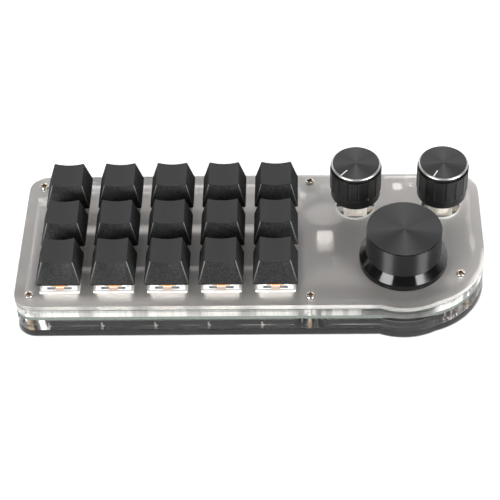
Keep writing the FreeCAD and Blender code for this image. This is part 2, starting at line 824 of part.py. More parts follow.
save_group("encoder_bases", [encoder_base(x, y) for x, y in knob_places])
for side, (x, y) in zip(("left", "right", "big"), knob_places):
    save(f"{side}_encoder_frame", encoder_frame(x, y))
    save(f"{side}_encoder_rotor", encoder_rotor(x, y))
for side, (x, y) in (("left", left_knob_place), ("right", right_knob_place)):
    save(f"{side}_shaft", encoder_shaft(small_shaft_length, x, y))
    save(f"{side}_set_screw", set_screw(x, y, case_top_z + small_knob_lift + small_set_screw_height))
save("left_knob", small_knob(left_pointer_bearing_degrees, *left_knob_place))
save("right_knob", small_knob(right_pointer_bearing_degrees, *right_knob_place))
save("big_shaft", encoder_shaft(big_shaft_length, *big_knob_place))
save("big_set_screw", set_screw(*big_knob_place, case_top_z + big_knob_lift + big_set_screw_height))
save("big_knob", big_knob(*big_knob_place))
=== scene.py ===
"""Looks of the desktop macro keypad. Lengths are millimetres until a mesh is made."""
import math

import bpy
import numpy as np
from mathutils import Matrix, Vector
from mathutils.geometry import tessellate_polygon


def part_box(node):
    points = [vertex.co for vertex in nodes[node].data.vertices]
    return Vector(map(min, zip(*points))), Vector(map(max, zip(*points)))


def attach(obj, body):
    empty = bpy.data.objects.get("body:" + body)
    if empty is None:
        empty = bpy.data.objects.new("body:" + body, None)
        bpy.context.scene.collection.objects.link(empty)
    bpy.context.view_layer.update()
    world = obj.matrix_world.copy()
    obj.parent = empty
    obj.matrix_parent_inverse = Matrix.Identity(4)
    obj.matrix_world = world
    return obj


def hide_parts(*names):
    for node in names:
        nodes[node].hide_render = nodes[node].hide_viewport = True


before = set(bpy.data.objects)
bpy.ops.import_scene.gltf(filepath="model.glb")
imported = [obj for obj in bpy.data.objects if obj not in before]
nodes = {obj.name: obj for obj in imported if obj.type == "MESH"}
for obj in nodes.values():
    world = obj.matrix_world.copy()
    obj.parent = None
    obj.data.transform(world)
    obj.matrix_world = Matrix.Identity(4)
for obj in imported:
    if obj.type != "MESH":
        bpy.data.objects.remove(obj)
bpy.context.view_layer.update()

METRES = 0.001


def box(node):
    """Lowest and highest corner of a CAD node, in millimetres."""
    low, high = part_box(node)
    return np.array(low) / METRES, np.array(high) / METRES


def middle(node):
    low, high = box(node)
    return (low + high) / 2


# Sheets: their faces come from the CAD nodes, their corners are the case's own
case_low, case_high = box("top_plate")
board_low, board_high = box("circuit_board")
left_corner_radius = 7.7
back_right_radius = 9.8
front_right_radius = 28.9
lobe_radius = 24.8
spacer_wall = 4.0
usb_notch_width = 9.44
upper_boss_radius = 4.5
lower_boss_radius = 6.2
screw_hole_radius = 1.1
standoff_hole_radius = 1.85
post_hole_radius = 2.05
knob_hole_radius = 7.75
switch_cutout = 14.0
cutout_corner_radius = 0.3
sheet_gap = 0.03
edge_round = 0.18

# Keycaps
cap_skirt = 0.9
cap_corner_radius = 0.75
cap_top_width = 12.0
cap_top_depth = 12.0
cap_top_corner_radius = 0.55
cap_top_setback = 1.9
cap_front_drop = 0.7
cap_dish_depth = 1.05
cap_edge_round = 0.16
cap_lip_round = 0.12
cap_wall = 1.4
cap_ceiling = 6.8
cap_post_radius = 2.75
cap_post_start = 1.45

# Small knobs, heights above their underside
collar_radius = 9.85
collar_height = 4.0
drum_radius = 10.35
drum_top = 14.15
neck_radius = 9.2
ring_radius = 9.85
ring_bevel_width = 0.55
ring_bevel_height = 0.65
knob_recess_radius = 7.5
knob_recess_height = 3.0
flute_count = 16
flute_depth = 0.45
flute_width = 0.8
flute_bearing = math.radians(3.7)
pointer_start = 5.4
pointer_width = 0.5
pointer_rise = 0.015
pointer_bearings = {"left": math.radians(-131.0), "right": math.radians(-118.0)}

# Big knob
flare_radius = 17.2
flare_band = 2.6
flare_top = 5.5
side_radius = 14.6
top_bevel = 0.25
cavity_radius = 12.6
cavity_height = 13.0
boss_radius = 6.0
boss_start = 7.2

# Screws, standoffs, encoders' rivets and the knobs' set screw holes
screw_head_radius = 1.75
screw_head_height = 1.2
screw_shank_radius = 1.0
recess_half_width = 0.46
recess_reach = 1.4
recess_depth = 0.75
standoff_radius = 1.7
thread_pitch = 0.4
thread_depth = 0.06
countersink_radius = 2.0
knurl_depth = 0.12
encoder_lit_reach = 4.3
rivet_offset = (6.7, -1.6, 3.5)
rivet_radius = 0.8
rivet_hole_radius = 0.35
rivet_height = 0.35
bore_radius = 1.55
bore_ends = (1.0, 22.0)

key_tags = [f"{row}{column}" for row in (1, 2, 3) for column in (1, 2, 3, 4, 5)]
key_places = [tuple(middle(f"keycap_{tag}")[:2]) for tag in key_tags]
small_sides = ("left", "right")
sides = (*small_sides, "big")
knob_places = {side: tuple(middle(f"{side}_shaft")[:2]) for side in sides}


def connected_middles(node):
    """Middles of a node's separate solids: vertices are labelled by place, and each label spreads along
    edges."""
    mesh = nodes[node].data
    points = np.empty(len(mesh.vertices) * 3)
    mesh.vertices.foreach_get("co", points)
    points = points.reshape(-1, 3) / METRES
    edges = np.empty(len(mesh.edges) * 2, int)
    mesh.edges.foreach_get("vertices", edges)
    edges = edges.reshape(-1, 2)
    _, same = np.unique(points.round(3), axis=0, return_inverse=True)
    same = same.ravel()
    label = np.arange(same.max() + 1)
    ends = same[edges]
    while True:
        lowest = label[ends].min(axis=1)
        before = label.copy()
        np.minimum.at(label, ends[:, 0], lowest)
        np.minimum.at(label, ends[:, 1], lowest)
        if (before == label).all():
            break
    solid = label[same]
    return [
        (points[solid == number].min(axis=0) + points[solid == number].max(axis=0)) / 2
        for number in np.unique(solid)
    ]


screw_places = [tuple(place[:2]) for place in connected_middles("top_screws")]


# Mesh making


def piece(name, points, faces, finish, body, replaced=(), slot=None, shade=None):
    """Mesh object from millimetre points and (index array, smooth) pairs, riding on a body. shade is a value
    of each point that its finish can read."""
    mesh = bpy.data.meshes.new(name)
    mesh.vertices.add(len(points))
    mesh.vertices.foreach_set("co", (np.asarray(points) * METRES).astype(np.float32).ravel())
    corners = np.concatenate([group.ravel() for group, _ in faces]).astype(np.int32)
    sizes = np.concatenate([np.full(len(group), group.shape[1]) for group, _ in faces])
    smooth = np.concatenate([np.full(len(group), flag) for group, flag in faces])
    mesh.loops.add(len(corners))
    mesh.loops.foreach_set("vertex_index", corners)
    mesh.polygons.add(len(sizes))
    starts = np.concatenate([[0], np.cumsum(sizes)[:-1]]).astype(np.int32)
    mesh.polygons.foreach_set("loop_start", starts)
    mesh.polygons.foreach_set("use_smooth", smooth)
    mesh.update(calc_edges=True)
    if shade is not None:
        mesh.attributes.new("shade", "FLOAT", "POINT").data.foreach_set("value", shade.astype(np.float32))
    mesh.validate()
    mesh.materials.append(finish)
    made = bpy.data.objects.new(name, mesh)
    bpy.context.scene.collection.objects.link(made)
    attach(made, body)
    if replaced:
        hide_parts(*replaced)
    return made


def band(rows, columns, first=0):
    """Quads between neighbouring rows of a grid whose rows close on themselves, outward for a run that goes
    up."""
    row = np.arange(rows - 1)[:, None] * columns
    here = row + np.arange(columns)[None, :]
    beside = row + (np.arange(columns)[None, :] + 1) % columns
    return np.stack([here, beside, beside + columns, here + columns], axis=-1).reshape(-1, 4) + first


def fan(first, columns, pole, upward):
    """Triangles from one closed row to a pole."""
    here = np.arange(columns)
    beside = (here + 1) % columns
    sides = (here + first, beside + first) if upward else (beside + first, here + first)
    return np.stack([*sides, np.full(columns, pole)], axis=-1)


def softened(profile, radius, steps=4):
    """Profile whose corners are quadratic curves: each corner point pulls between a point before and one
    after it."""
    profile = np.asarray(profile, float)
    run = [profile[0]]
    for before, corner, after in zip(profile[:-2], profile[1:-1], profile[2:]):
        back = before - corner
        ahead = after - corner
        reach = min(radius, 0.3 * np.linalg.norm(back), 0.3 * np.linalg.norm(ahead))
        start = corner + back / np.linalg.norm(back) * reach
        end = corner + ahead / np.linalg.norm(ahead) * reach
        share = np.linspace(0, 1, steps + 1)[:, None]
        curve = (1 - share) ** 2 * start + 2 * share * (1 - share) * corner + share ** 2 * end
        support = [start + (start - corner) * 0.25]
        run += support + list(curve) + [end + (end - corner) * 0.25]
    run.append(profile[-1])
    return np.array(run)


def turned(profile, steps, place, z, shape=None):
    """Points of a profile turned about an upright axis, x = r cos a, y = r sin a; the profile's ends lie on
    the axis and become poles. shape gives what is taken off the radius for each height and angle."""
    profile = np.asarray(profile, float)
    angle = np.arange(steps) * 2 * math.pi / steps
    radius = np.repeat(profile[1:-1, :1], steps, axis=1)
    height = np.repeat(profile[1:-1, 1:], steps, axis=1)
    if shape is not None:
        radius = radius - shape(radius, height, angle[None, :])
    rows = np.stack([radius * np.cos(angle), radius * np.sin(angle), height], axis=-1).reshape(-1, 3)
    poles = np.array([[0, 0, profile[0, 1]], [0, 0, profile[-1, 1]]])
    points = np.concatenate([rows, poles]) + np.array([*place, z])
    count = len(profile) - 2
    faces = [
        (band(count, steps), True),
        (fan(0, steps, count * steps, False), True),
        (fan((count - 1) * steps, steps, count * steps + 1, True), True),
    ]
    return points, faces


def turned_ring(profile, steps, place, z):
    """Points of a closed profile turned about an upright axis, so that the last row joins the first."""
    profile = np.asarray(profile, float)
    angle = np.arange(steps) * 2 * math.pi / steps
    radius = profile[:, :1]
    rows = np.stack(
        [radius * np.cos(angle), radius * np.sin(angle), np.repeat(profile[:, 1:], steps, axis=1)], axis=-1
    ).reshape(-1, 3)
    count = len(profile)
    faces = band(count + 1, steps) % (count * steps)
    return rows + np.array([*place, z]), [(faces, True)]


def together(parts):
    """One point array and face list from several."""
    points, faces, first = [], [], 0
    for some_points, some_faces in parts:
        points.append(some_points)
        faces += [(group + first, flag) for group, flag in some_faces]
        first += len(some_points)
    return np.concatenate(points), faces


def arc(x, y, radius, start, end, count):
    """Points on a circle from one bearing to another, in degrees."""
    angle = np.radians(np.linspace(start, end, count))
    return np.stack([x + radius * np.cos(angle), y + radius * np.sin(angle)], axis=-1)


def circle(x, y, radius, count=48):
    return arc(x, y, radius, 0, 360 * (1 - 1 / count), count)


def crossings(left, left_radius, right, right_radius):
    """Both points where two circles meet, by the chord at right angles to the line of centres."""
    left, right = np.array(left), np.array(right)
    apart = np.linalg.norm(right - left)
    along = (apart ** 2 + left_radius ** 2 - right_radius ** 2) / (2 * apart)
    across = math.sqrt(left_radius ** 2 - along ** 2)
    direction = (right - left) / apart
    side = np.array([-direction[1], direction[0]])
    foot = left + direction * along
    return foot + side * across, foot - side * across


def bearing(centre, point):
    return math.degrees(math.atan2(point[1] - centre[1], point[0] - centre[0]))


left_x, right_x = case_low[0], case_high[0]
front_y, back_y = board_low[1], board_high[1]
lobe_place = knob_places["big"]


def outline(inset, lobe=True):
    """Anticlockwise outline: quarter circles about the four corner centres, straight between them, with the
    lobe's circle from where it leaves the front side to where it meets the front right corner's circle."""
    corner = left_corner_radius
    turn = np.array([right_x - front_right_radius, front_y + front_right_radius])
    turn_radius = front_right_radius - inset
    lobe_reach = lobe_radius - inset
    runs = [arc(left_x + corner, front_y + corner, corner - inset, 180, 270, 25)]
    if lobe:
        drop = lobe_place[1] - front_y - inset
        leave = (lobe_place[0] - math.sqrt(lobe_reach ** 2 - drop ** 2), front_y + inset)
        meet = min(crossings(lobe_place, lobe_reach, turn, turn_radius), key=lambda point: point[1])
        runs.append(arc(*lobe_place, lobe_reach, bearing(lobe_place, leave), bearing(lobe_place, meet), 49))
        runs.append(arc(*turn, turn_radius, bearing(turn, meet), 0, 49)[1:])
    else:
        runs.append(arc(*turn, turn_radius, -90, 0, 73))
    back = back_right_radius
    runs.append(arc(right_x - back, back_y - back, back - inset, 0, 90, 29))
    runs.append(arc(left_x + corner, back_y - corner, corner - inset, 90, 180, 25))
    return np.concatenate(runs)


def ring_window(boss_radius):
    """Inside edge of a spacer: the outline drawn in by the wall, and round each screw the part of its boss's
    circle that stands in the window."""
    run = outline(spacer_wall)
    step = np.roll(run, -1, axis=0) - run
    length = np.linalg.norm(step, axis=1)
    reached = np.concatenate([[0], np.cumsum(length)])
    places = np.linspace(0, reached[-1], 3000, endpoint=False)
    closed = np.concatenate([run, run[:1]])
    run = np.stack([np.interp(places, reached, closed[:, axis]) for axis in (0, 1)], axis=-1)
    for centre in screw_places:
        inside = np.linalg.norm(run - centre, axis=1) < boss_radius
        if not inside.any():
            continue
        first = np.flatnonzero(inside & ~np.roll(inside, 1))[0]
        run = np.roll(run, -first, axis=0)
        count = int(inside.sum())
        enter, leave = bearing(centre, run[0]), bearing(centre, run[count - 1])
        if leave > enter:
            leave -= 360
        run = np.concatenate([arc(*centre, boss_radius, enter, leave, 40), run[count:]])
    step = np.roll(run, -1, axis=0) - run
    before = np.roll(step, 1, axis=0)
    turn = np.abs(step[:, 0] * before[:, 1] - step[:, 1] * before[:, 0])
    spread = np.linalg.norm(step, axis=1) * np.linalg.norm(before, axis=1)
    bend = turn > spread * 0.002
    return run[bend | np.roll(bend, 1) | np.roll(bend, -1)]


def rounded_square(x, y, side, radius, count=6):
    half = side / 2 - radius
    return np.concatenate([
        arc(x + half * sx, y + half * sy, radius, start, start + 90, count)
        for sx, sy, start in ((1, 1, 0), (-1, 1, 90), (-1, -1, 180), (1, -1, 270))
    ])


def flat_fill(loops, z, upward):
    """Triangles over the area between closed runs, turned to face up or down."""
    triangles = np.array(tessellate_polygon([[Vector((*point, 0.0)) for point in loop] for loop in loops]))
    points = np.concatenate(loops)
    a, b, c = (points[triangles[:, corner]] for corner in range(3))
    area = (b[:, 0] - a[:, 0]) * (c[:, 1] - a[:, 1]) - (b[:, 1] - a[:, 1]) * (c[:, 0] - a[:, 0])
    wrong = (area < 0) == upward
    triangles[wrong] = triangles[wrong][:, ::-1]
    kept = np.abs(area) > 1e-9
    return np.column_stack([points, np.full(len(points), z)]), triangles[kept]


def cut_sheet(outer, holes, low, high, rounding):
    """Sheet between two heights: each outline is carried up a wall whose ends curve inwards by the rounding,
    and both faces are filled. outer and holes are functions of the inset."""
    bend = np.linspace(0, math.pi / 2, 4)
    inset = rounding * (1 - np.sin(bend))
    rise = rounding * (1 - np.cos(bend))
    insets = np.concatenate([inset, inset[::-1]])
    heights = np.concatenate([low + rise, (high - rise)[::-1]])
    parts = []
    for number, loop in enumerate([outer, *holes]):
        hole = number > 0
        rows = [loop(-amount if hole else amount) for amount in insets]
        points = np.concatenate([
            np.column_stack([row, np.full(len(row), z)]) for row, z in zip(rows, heights)
        ])
        quads = band(len(rows), len(rows[0]))
        parts.append((points, [(quads[:, ::-1] if hole else quads, True)]))
    for z, upward in ((low, False), (high, True)):
        loops = [outer(rounding)] + [hole(-rounding) for hole in holes]
        points, triangles = flat_fill(loops, z, upward)
        parts.append((points, [(triangles, False)]))
    points, faces = together(parts)
    return merged(points, faces)


def merged(points, faces):
    """The same faces with points that share a place made one."""
    _, first, same = np.unique(points.round(5), axis=0, return_index=True, return_inverse=True)
    same = same.ravel()
    return points[first], [(same[group], flag) for group, flag in faces]


def merged_first(points):
    """Index of the first of the points that share each place, in the order that merged gives."""
    return np.unique(points.round(5), axis=0, return_index=True)[1]


def hole_loop(x, y, radius, count=40):
    return lambda inset: circle(x, y, radius - inset, count)


def square_loop(x, y, side, radius):
    return lambda inset: rounded_square(x, y, side - 2 * inset, radius)


# Finishes


def wire(node, **sockets):
    """Values or other sockets into a node's inputs, by name, or by number as i0, i1 and so on."""
    for label, value in sockets.items():
        number = label[1:] if label[0] == "i" else ""
        target = node.inputs[int(number) if number.isdigit() else label.replace("_", " ")]
        if isinstance(value, bpy.types.NodeSocket):
            node.id_data.links.new(value, target)
        else:
            target.default_value = value
    return node


def add(kind, settings=None, owner=None, **sockets):
    """Node of a kind in the given tree, or in the tree of the first socket that it takes."""
    if owner is None:
        owner = next(value.id_data for value in sockets.values() if isinstance(value, bpy.types.NodeSocket))
    node = owner.nodes.new(f"ShaderNode{kind}")
    for key, value in (settings or {}).items():
        setattr(node, key, value)
    return wire(node, **sockets)


def maths(operation, *values, clamp=False):
    sockets = {f"i{number}": value for number, value in enumerate(values)}
    return add("Math", {"operation": operation, "use_clamp": clamp}, **sockets).outputs[0]


def times(first, *others):
    for other in others:
        first = maths("MULTIPLY", first, other)
    return first


def total(first, *others):
    for other in others:
        first = maths("ADD", first, other)
    return first


def vector_maths(operation, first, second=None):
    """Result of a vector node: a number for a length or a dot product, else a vector."""
    node = add("VectorMath", {"operation": operation}, i0=first, **({} if second is None else {"i1": second}))
    return node.outputs["Value" if operation in ("LENGTH", "DOT_PRODUCT") else 0]


def split(vector):
    return add("SeparateXYZ", i0=vector).outputs


def noise(vector, scale, detail):
    return add("TexNoise", Vector=vector, Scale=scale, Detail=detail).outputs[0]


def stretched(vector, *scale):
    return add("Mapping", Vector=vector, Scale=scale).outputs[0]


def remap(value, low, high, to_low=0.0, to_high=1.0, smooth=True):
    """Value carried from one range to another, clamped."""
    settings = {"interpolation_type": "SMOOTHSTEP" if smooth else "LINEAR"}
    return add("MapRange", settings, i0=value, i1=low, i2=high, i3=to_low, i4=to_high).outputs[0]


def fade(value, low, high, start=1.0):
    return remap(value, low, high, start, 0.0)


def hump(value, rise_from, rise_to, fall_from, fall_to):
    """Mask that rises from 0 to 1 between the first two values and falls again between the last two."""
    return times(remap(value, rise_from, rise_to), fade(value, fall_from, fall_to))


def blend_value(factor, first, second):
    return remap(factor, 0.0, 1.0, first, second, False)


def mix(factor, first, second):
    return add("Mix", {"data_type": "RGBA"}, i0=factor, i6=first, i7=second).outputs[2]


def grey(value):
    return (value, value, value, 1.0)


def dimmed(colour, share):
    return tuple(channel * share for channel in colour[:3]) + (1.0,)


def effect(name, outputs, **values):
    """Shader node group that takes a Vector and named values, and gives masks; returns it with its two
    ends."""
    group = bpy.data.node_groups.new(name, "ShaderNodeTree")
    group.interface.new_socket("Vector", in_out="INPUT", socket_type="NodeSocketVector")
    for label, value in values.items():
        label = label.replace("_", " ")
        socket = group.interface.new_socket(label, in_out="INPUT", socket_type="NodeSocketFloat")
        socket.default_value = value
    for label in outputs:
        group.interface.new_socket(label, in_out="OUTPUT", socket_type="NodeSocketFloat")
    return group, group.nodes.new("NodeGroupInput").outputs, group.nodes.new("NodeGroupOutput")


def use(group, **sockets):
    """Masks of a group placed in the tree of the sockets that it takes."""
    node = sockets["Vector"].id_data.nodes.new("ShaderNodeGroup")
    node.node_tree = group
    return wire(node, **sockets).outputs


def moulded_grain():
    """Fine moulded texture: two noises, one of the pits and one of slow colour changes."""
    group, given, result = effect("moulded_grain", ("Height", "Tone", "Gloss"), Size=4000.0, Patches=90.0)
    pits = noise(given["Vector"], given["Size"], 3.0)
    slow = noise(given["Vector"], given["Patches"], 4.0)
    wire(result, Height=pits, Tone=remap(slow, 0.3, 0.7), Gloss=remap(pits, 0.35, 0.65))
    return group


def turned_rings():
    """Lathe marks about an upright axis: waves of the distance from a centre, broken by noise along each
    ring."""
    group, given, result = effect("turned_rings", ("Height", "Tone"), Pitch=9000.0)
    x, y, _ = split(given["Vector"])
    reach = vector_maths("LENGTH", add("CombineXYZ", i0=x, i1=y).outputs[0])
    wave = maths("SINE", times(reach, given["Pitch"]))
    drift = noise(add("CombineXYZ", i0=reach).outputs[0], 2600.0, 3.0)
    wire(result, Height=total(times(wave, 0.3), drift), Tone=remap(drift, 0.3, 0.7))
    return group


def spun_rays_painted_wedges():
    """Rays of a spun disc: a noise of the direction from the centre, and two dark wedges of painted reflection
    towards the front corners, where the product of the direction's parts is largest."""
    group, given, result = effect("spun_rays_painted_wedges", ("Tone",))
    way = vector_maths("NORMALIZE", vector_maths("MULTIPLY", given["Vector"], (1.0, 1.0, 0.0)))
    x, y, _ = split(way)
    light = remap(noise(way, 9.0, 4.0), 0.3, 0.7, 0.85, 1.0)
    # Painted reflection: the tone is dimmed in two wedges towards the front corners
    painted_wedges = times(maths("ABSOLUTE", times(x, y)), remap(y, -0.4, 0.3, 1.6, 0.6))
    wire(result, Tone=times(light, maths("SUBTRACT", 1.0, painted_wedges, clamp=True)))
    return group


def handling_marks():
    """Faint smudges and hair scratches: a slow noise, and a thin line where a stretched noise crosses its
    middle."""
    group, given, result = effect("handling_marks", ("Smudge", "Scratch"), Smudge_Size=45.0, Scratch_Size=160.0)
    smudge = noise(given["Vector"], given["Smudge Size"], 5.0)
    drawn_out = add("Mapping", Vector=given["Vector"], Rotation=(0.0, 0.0, 0.6), Scale=(1.0, 7.0, 1.0))
    lines = noise(drawn_out.outputs[0], given["Scratch Size"], 2.0)
    off = maths("ABSOLUTE", maths("SUBTRACT", lines, 0.5))
    wire(result, Smudge=remap(smudge, 0.35, 0.7), Scratch=fade(off, 0.0, 0.006))
    return group


def light_bands():
    """Soft bands of painted light across the keys' field: each starts in a sharp line at the back and fades to
    the front."""
    group, given, result = effect("light_bands", ("Mask",), Left=-0.08, Right=0.018, Start=0.009, Depth=0.006)
    x, y, _ = split(given["Vector"])
    field = times(maths("GREATER_THAN", x, given["Left"]), maths("LESS_THAN", x, given["Right"]))
    behind = maths("SUBTRACT", given["Start"], y)
    fall = fade(maths("DIVIDE", behind, given["Depth"]), 0.45, 1.0)
    wire(result, Mask=times(remap(behind, 0.0, 0.0004), fall, field))
    return group


def flat_distance(vector, x, y):
    """Distance in plan from a point given in metres."""
    off = vector_maths("SUBTRACT", vector, (x, y, 0.0))
    return vector_maths("LENGTH", vector_maths("MULTIPLY", off, (1.0, 1.0, 0.0)))


# Soft spots of painted light in the frosted sheet: middle, half sizes in metres, and strength
sheet_spots = (
    ((0.0877, -0.0022), (0.0012, 0.0045), 1.1), ((0.0866, 0.0112), (0.001, 0.003), 0.7),
    ((0.0326, -0.0103), (0.0008, 0.001), 0.9), ((0.033, -0.0125), (0.0008, 0.001), 0.8),
    ((0.0295, 0.0145), (0.008, 0.006), 1.2),
)


def inner_light():
    """Painted light of the case in the frosted sheet: how far a point is inside the keys' field, and the light
    outside it, which grows to the back, with a strip behind the keys, a halo before the big knob and a bright
    front corner."""
    group, given, result = effect("inner_light", ("Field", "Light"))
    place = given["Vector"]
    x, y, _ = split(place)
    sides = hump(x, -0.087, -0.083, 0.0185, 0.0225)
    wide = maths("MAXIMUM", sides, fade(y, -0.028, -0.02, 0.7))
    back = times(remap(y, -0.012, 0.036, 0.1, 0.75, False), remap(x, -0.02, 0.03, 0.15, 1.0))
    strip = times(remap(y, 0.015, 0.019, 0.35, 1.15), remap(y, 0.0215, 0.026, 1.0, 0.1))
    strip = times(strip, remap(x, -0.083, -0.076, 0.2, 1.0), sides)
    from_knob = flat_distance(place, *(value * METRES for value in knob_places["big"]))
    halo = times(fade(from_knob, 0.0178, 0.0205, 0.8), fade(y, -0.026, -0.022))
    corner = (right_x - front_right_radius, front_y + front_right_radius)
    from_corner = flat_distance(place, *(value * METRES for value in corner))
    turn = times(remap(x, 0.07, 0.076), fade(y, -0.01, -0.004))
    light = total(back, strip, halo, times(remap(from_corner, 0.0268, 0.0284, 0.0, 5.0), turn))
    for spot, reach, strength in sheet_spots:
        off = vector_maths("SUBTRACT", place, (*spot, 0.0))
        off = vector_maths("MULTIPLY", vector_maths("DIVIDE", off, (*reach, 1.0)), (1.0, 1.0, 0.0))
        light = total(light, fade(vector_maths("DOT_PRODUCT", off, off), 0.5, 1.6, strength))
    wire(result, Field=times(wide, fade(y, 0.002, 0.014)), Light=light)
    return group


def key_pattern():
    """Distance from the nearest key's middle to each side and to the front, repeated at the key pitch; Left
    is the distance to the left of the middle."""
    group, given, result = effect("key_pattern", ("Across", "Front", "Height", "Left"))
    parts = split(given["Vector"])
    pitch = (key_places[1][0] - key_places[0][0]) * METRES
    across, front = (
        maths("WRAP", maths("SUBTRACT", parts[axis], key_places[0][axis] * METRES), pitch / 2, -pitch / 2)
        for axis in (0, 1)
    )
    wire(result, Across=maths("ABSOLUTE", across), Front=front, Height=parts[2], Left=times(across, -1.0))
    return group


grain = moulded_grain()
rings = turned_rings()
rays_and_painted_wedges = spun_rays_painted_wedges()
marks = handling_marks()
bands = light_bands()
case_light = inner_light()
keys = key_pattern()


def finish(name, **sockets):
    """Material with a Principled shader; returns it with its shader and object coordinates."""
    material = bpy.data.materials.new(name)
    material.use_nodes = True
    shader = wire(material.node_tree.nodes["Principled BSDF"], **sockets)
    return material, shader, add("TexCoord", None, material.node_tree).outputs["Object"]


def raise_surface(shader, height, strength, distance):
    wire(shader, Normal=add("Bump", Strength=strength, Distance=distance, Height=height).outputs[0])


def shade_of(shader):
    """The mesh's own shade."""
    return add("Attribute", {"attribute_name": "shade"}, shader.id_data).outputs["Fac"]


def facing(shader):
    return split(add("NewGeometry", None, shader.id_data).outputs["Normal"])


def flatness(shader, low=0.35, high=0.75):
    """Mask of the faces that look up or down."""
    return remap(maths("ABSOLUTE", facing(shader)[2]), low, high)


def fed(shader, label):
    return shader.inputs[label].links[0].from_socket


# Painted light: emission of a colour where a share is high, on parts that are no lamps
def give_light(shader, share, colour, strength=1.0):
    wire(shader, Emission_Color=mix(share, grey(0.0), colour), Emission_Strength=strength)


def moulded(name, dark, light, roughness, spread, size, depth, **sockets):
    """Moulded plastic: colour drifts between two tones, roughness between two values, and fine pits stand in
    relief."""
    material, shader, place = finish(name, **sockets)
    made = use(grain, Vector=place, Size=size)
    rough = remap(made["Gloss"], 0.0, 1.0, roughness - spread, roughness + spread, False)
    wire(shader, Base_Color=mix(made["Tone"], dark, light), Roughness=rough)
    raise_surface(shader, made["Height"], 1.0, depth)
    return material, shader, place


def plastic(*values):
    return moulded(*values)[0]


def cap_plastic():
    """Matt black plastic with a painted highlight along the front corners, where the mesh's shade is high, and
    faces that look up painted lighter than the sides.
    """
    material, shader, place = moulded(
        "cap_plastic", grey(0.011), grey(0.015), 0.5, 0.08, 3000.0, 0.00006, Specular_IOR_Level=0.2
    )
    speck = use(grain, Vector=place, Size=1500.0)["Gloss"]
    plain = mix(0.75, fed(shader, "Base Color"), mix(speck, grey(0.005), grey(0.023)))
    across, _, up = facing(shader)
    # Painted light: faces that look up are painted a lighter grey than the sides
    tops_painted_lighter = mix(remap(up, 0.75, 0.95), plain, grey(0.036))
    flank = remap(maths("ABSOLUTE", across), 0.3, 0.7, 0.0, 0.3)
    rough = maths("ADD", fed(shader, "Roughness"), flank, clamp=True)
    # Painted highlight: light grey along the front corners, where the mesh's shade is high
    wire(shader, Base_Color=mix(shade_of(shader), tops_painted_lighter, grey(0.24)), Roughness=rough)
    return material


def encoder_tin(name, side, dark, light, colour):
    """Tinned frame with painted light where the hole lets light in, and painted shade along its front edge and
    on its ears."""
    material, shader, place = moulded(name, dark, light, 0.4, 0.08, 2600.0, 0.00001)
    x, y, _ = split(place)
    line = knob_places[side][1] - encoder_lit_reach
    across = maths("ABSOLUTE", maths("SUBTRACT", x, knob_places[side][0] * METRES))
    lit = times(remap(y, (line - 0.3) * METRES, line * METRES), remap(across, 0.0047, 0.0049, 1.0, 0.35))
    # Painted shade: the colour is dimmed along the front edge and on the ears; painted glow where lit
    wire(shader, Base_Color=mix(lit, dimmed(dark, 0.35), fed(shader, "Base Color")))
    give_light(shader, lit, colour)
    return material


def stamped_metal(name, colour, roughness, depth):
    """Plated or stamped metal: smudges vary its roughness, hair scratches stand in relief."""
    material, shader, place = finish(name, Metallic=1.0)
    smudge, scratch = use(marks, Vector=place, Smudge_Size=400.0, Scratch_Size=900.0)
    rough = remap(smudge, 0.0, 1.0, roughness, roughness + 0.12, False)
    wire(shader, Base_Color=mix(smudge, colour, dimmed(colour, 0.8)), Roughness=rough)
    raise_surface(shader, scratch, 0.4, depth)
    return material


def socket_steel():
    """Dull steel of the data socket with a patch on its top painted bright and glowing, a painted highlight."""
    material, shader, place = finish("usb_steel", Metallic=0.6)
    smudge, scratch = use(marks, Vector=place, Smudge_Size=500.0, Scratch_Size=900.0)
    parts = split(place)
    # Painted highlight: a bright glowing patch on the socket's top
    glowing_patch = times(*(
        fade(maths("ABSOLUTE", maths("SUBTRACT", part, value)), 0.0017, 0.0021)
        for part, value in zip(parts, middle("usb_socket")[:2] * METRES + np.array([0.0003, -0.0016]))
    ))
    dull = mix(smudge, grey(0.2), grey(0.26))
    wire(shader, Base_Color=mix(glowing_patch, dull, grey(0.95)), Roughness=remap(smudge, 0.0, 1.0, 0.4, 0.5, False))
    give_light(shader, glowing_patch, grey(0.7), 0.8)
    raise_surface(shader, scratch, 0.3, 0.00001)
    return material


def screw_steel():
    """Plated steel whose cross recess, where the mesh's shade is high, is painted dark brown as painted shade,
    and is dull.
    """
    material, shader, place = finish("steel_screw", Metallic=1.0)
    smudge, scratch = use(marks, Vector=place, Smudge_Size=500.0, Scratch_Size=1200.0)
    recess = remap(shade_of(shader), 0.15, 0.7)
    bright = mix(smudge, (0.72, 0.68, 0.63, 1), (0.6, 0.56, 0.51, 1))
    rough = remap(recess, 0.0, 1.0, 0.2, 0.6, False)
    # Painted shade in the cross recess
    wire(shader, Base_Color=mix(recess, bright, (0.22, 0.14, 0.08, 1)), Roughness=rough)
    raise_surface(shader, scratch, 0.3, 0.00001)
    return material


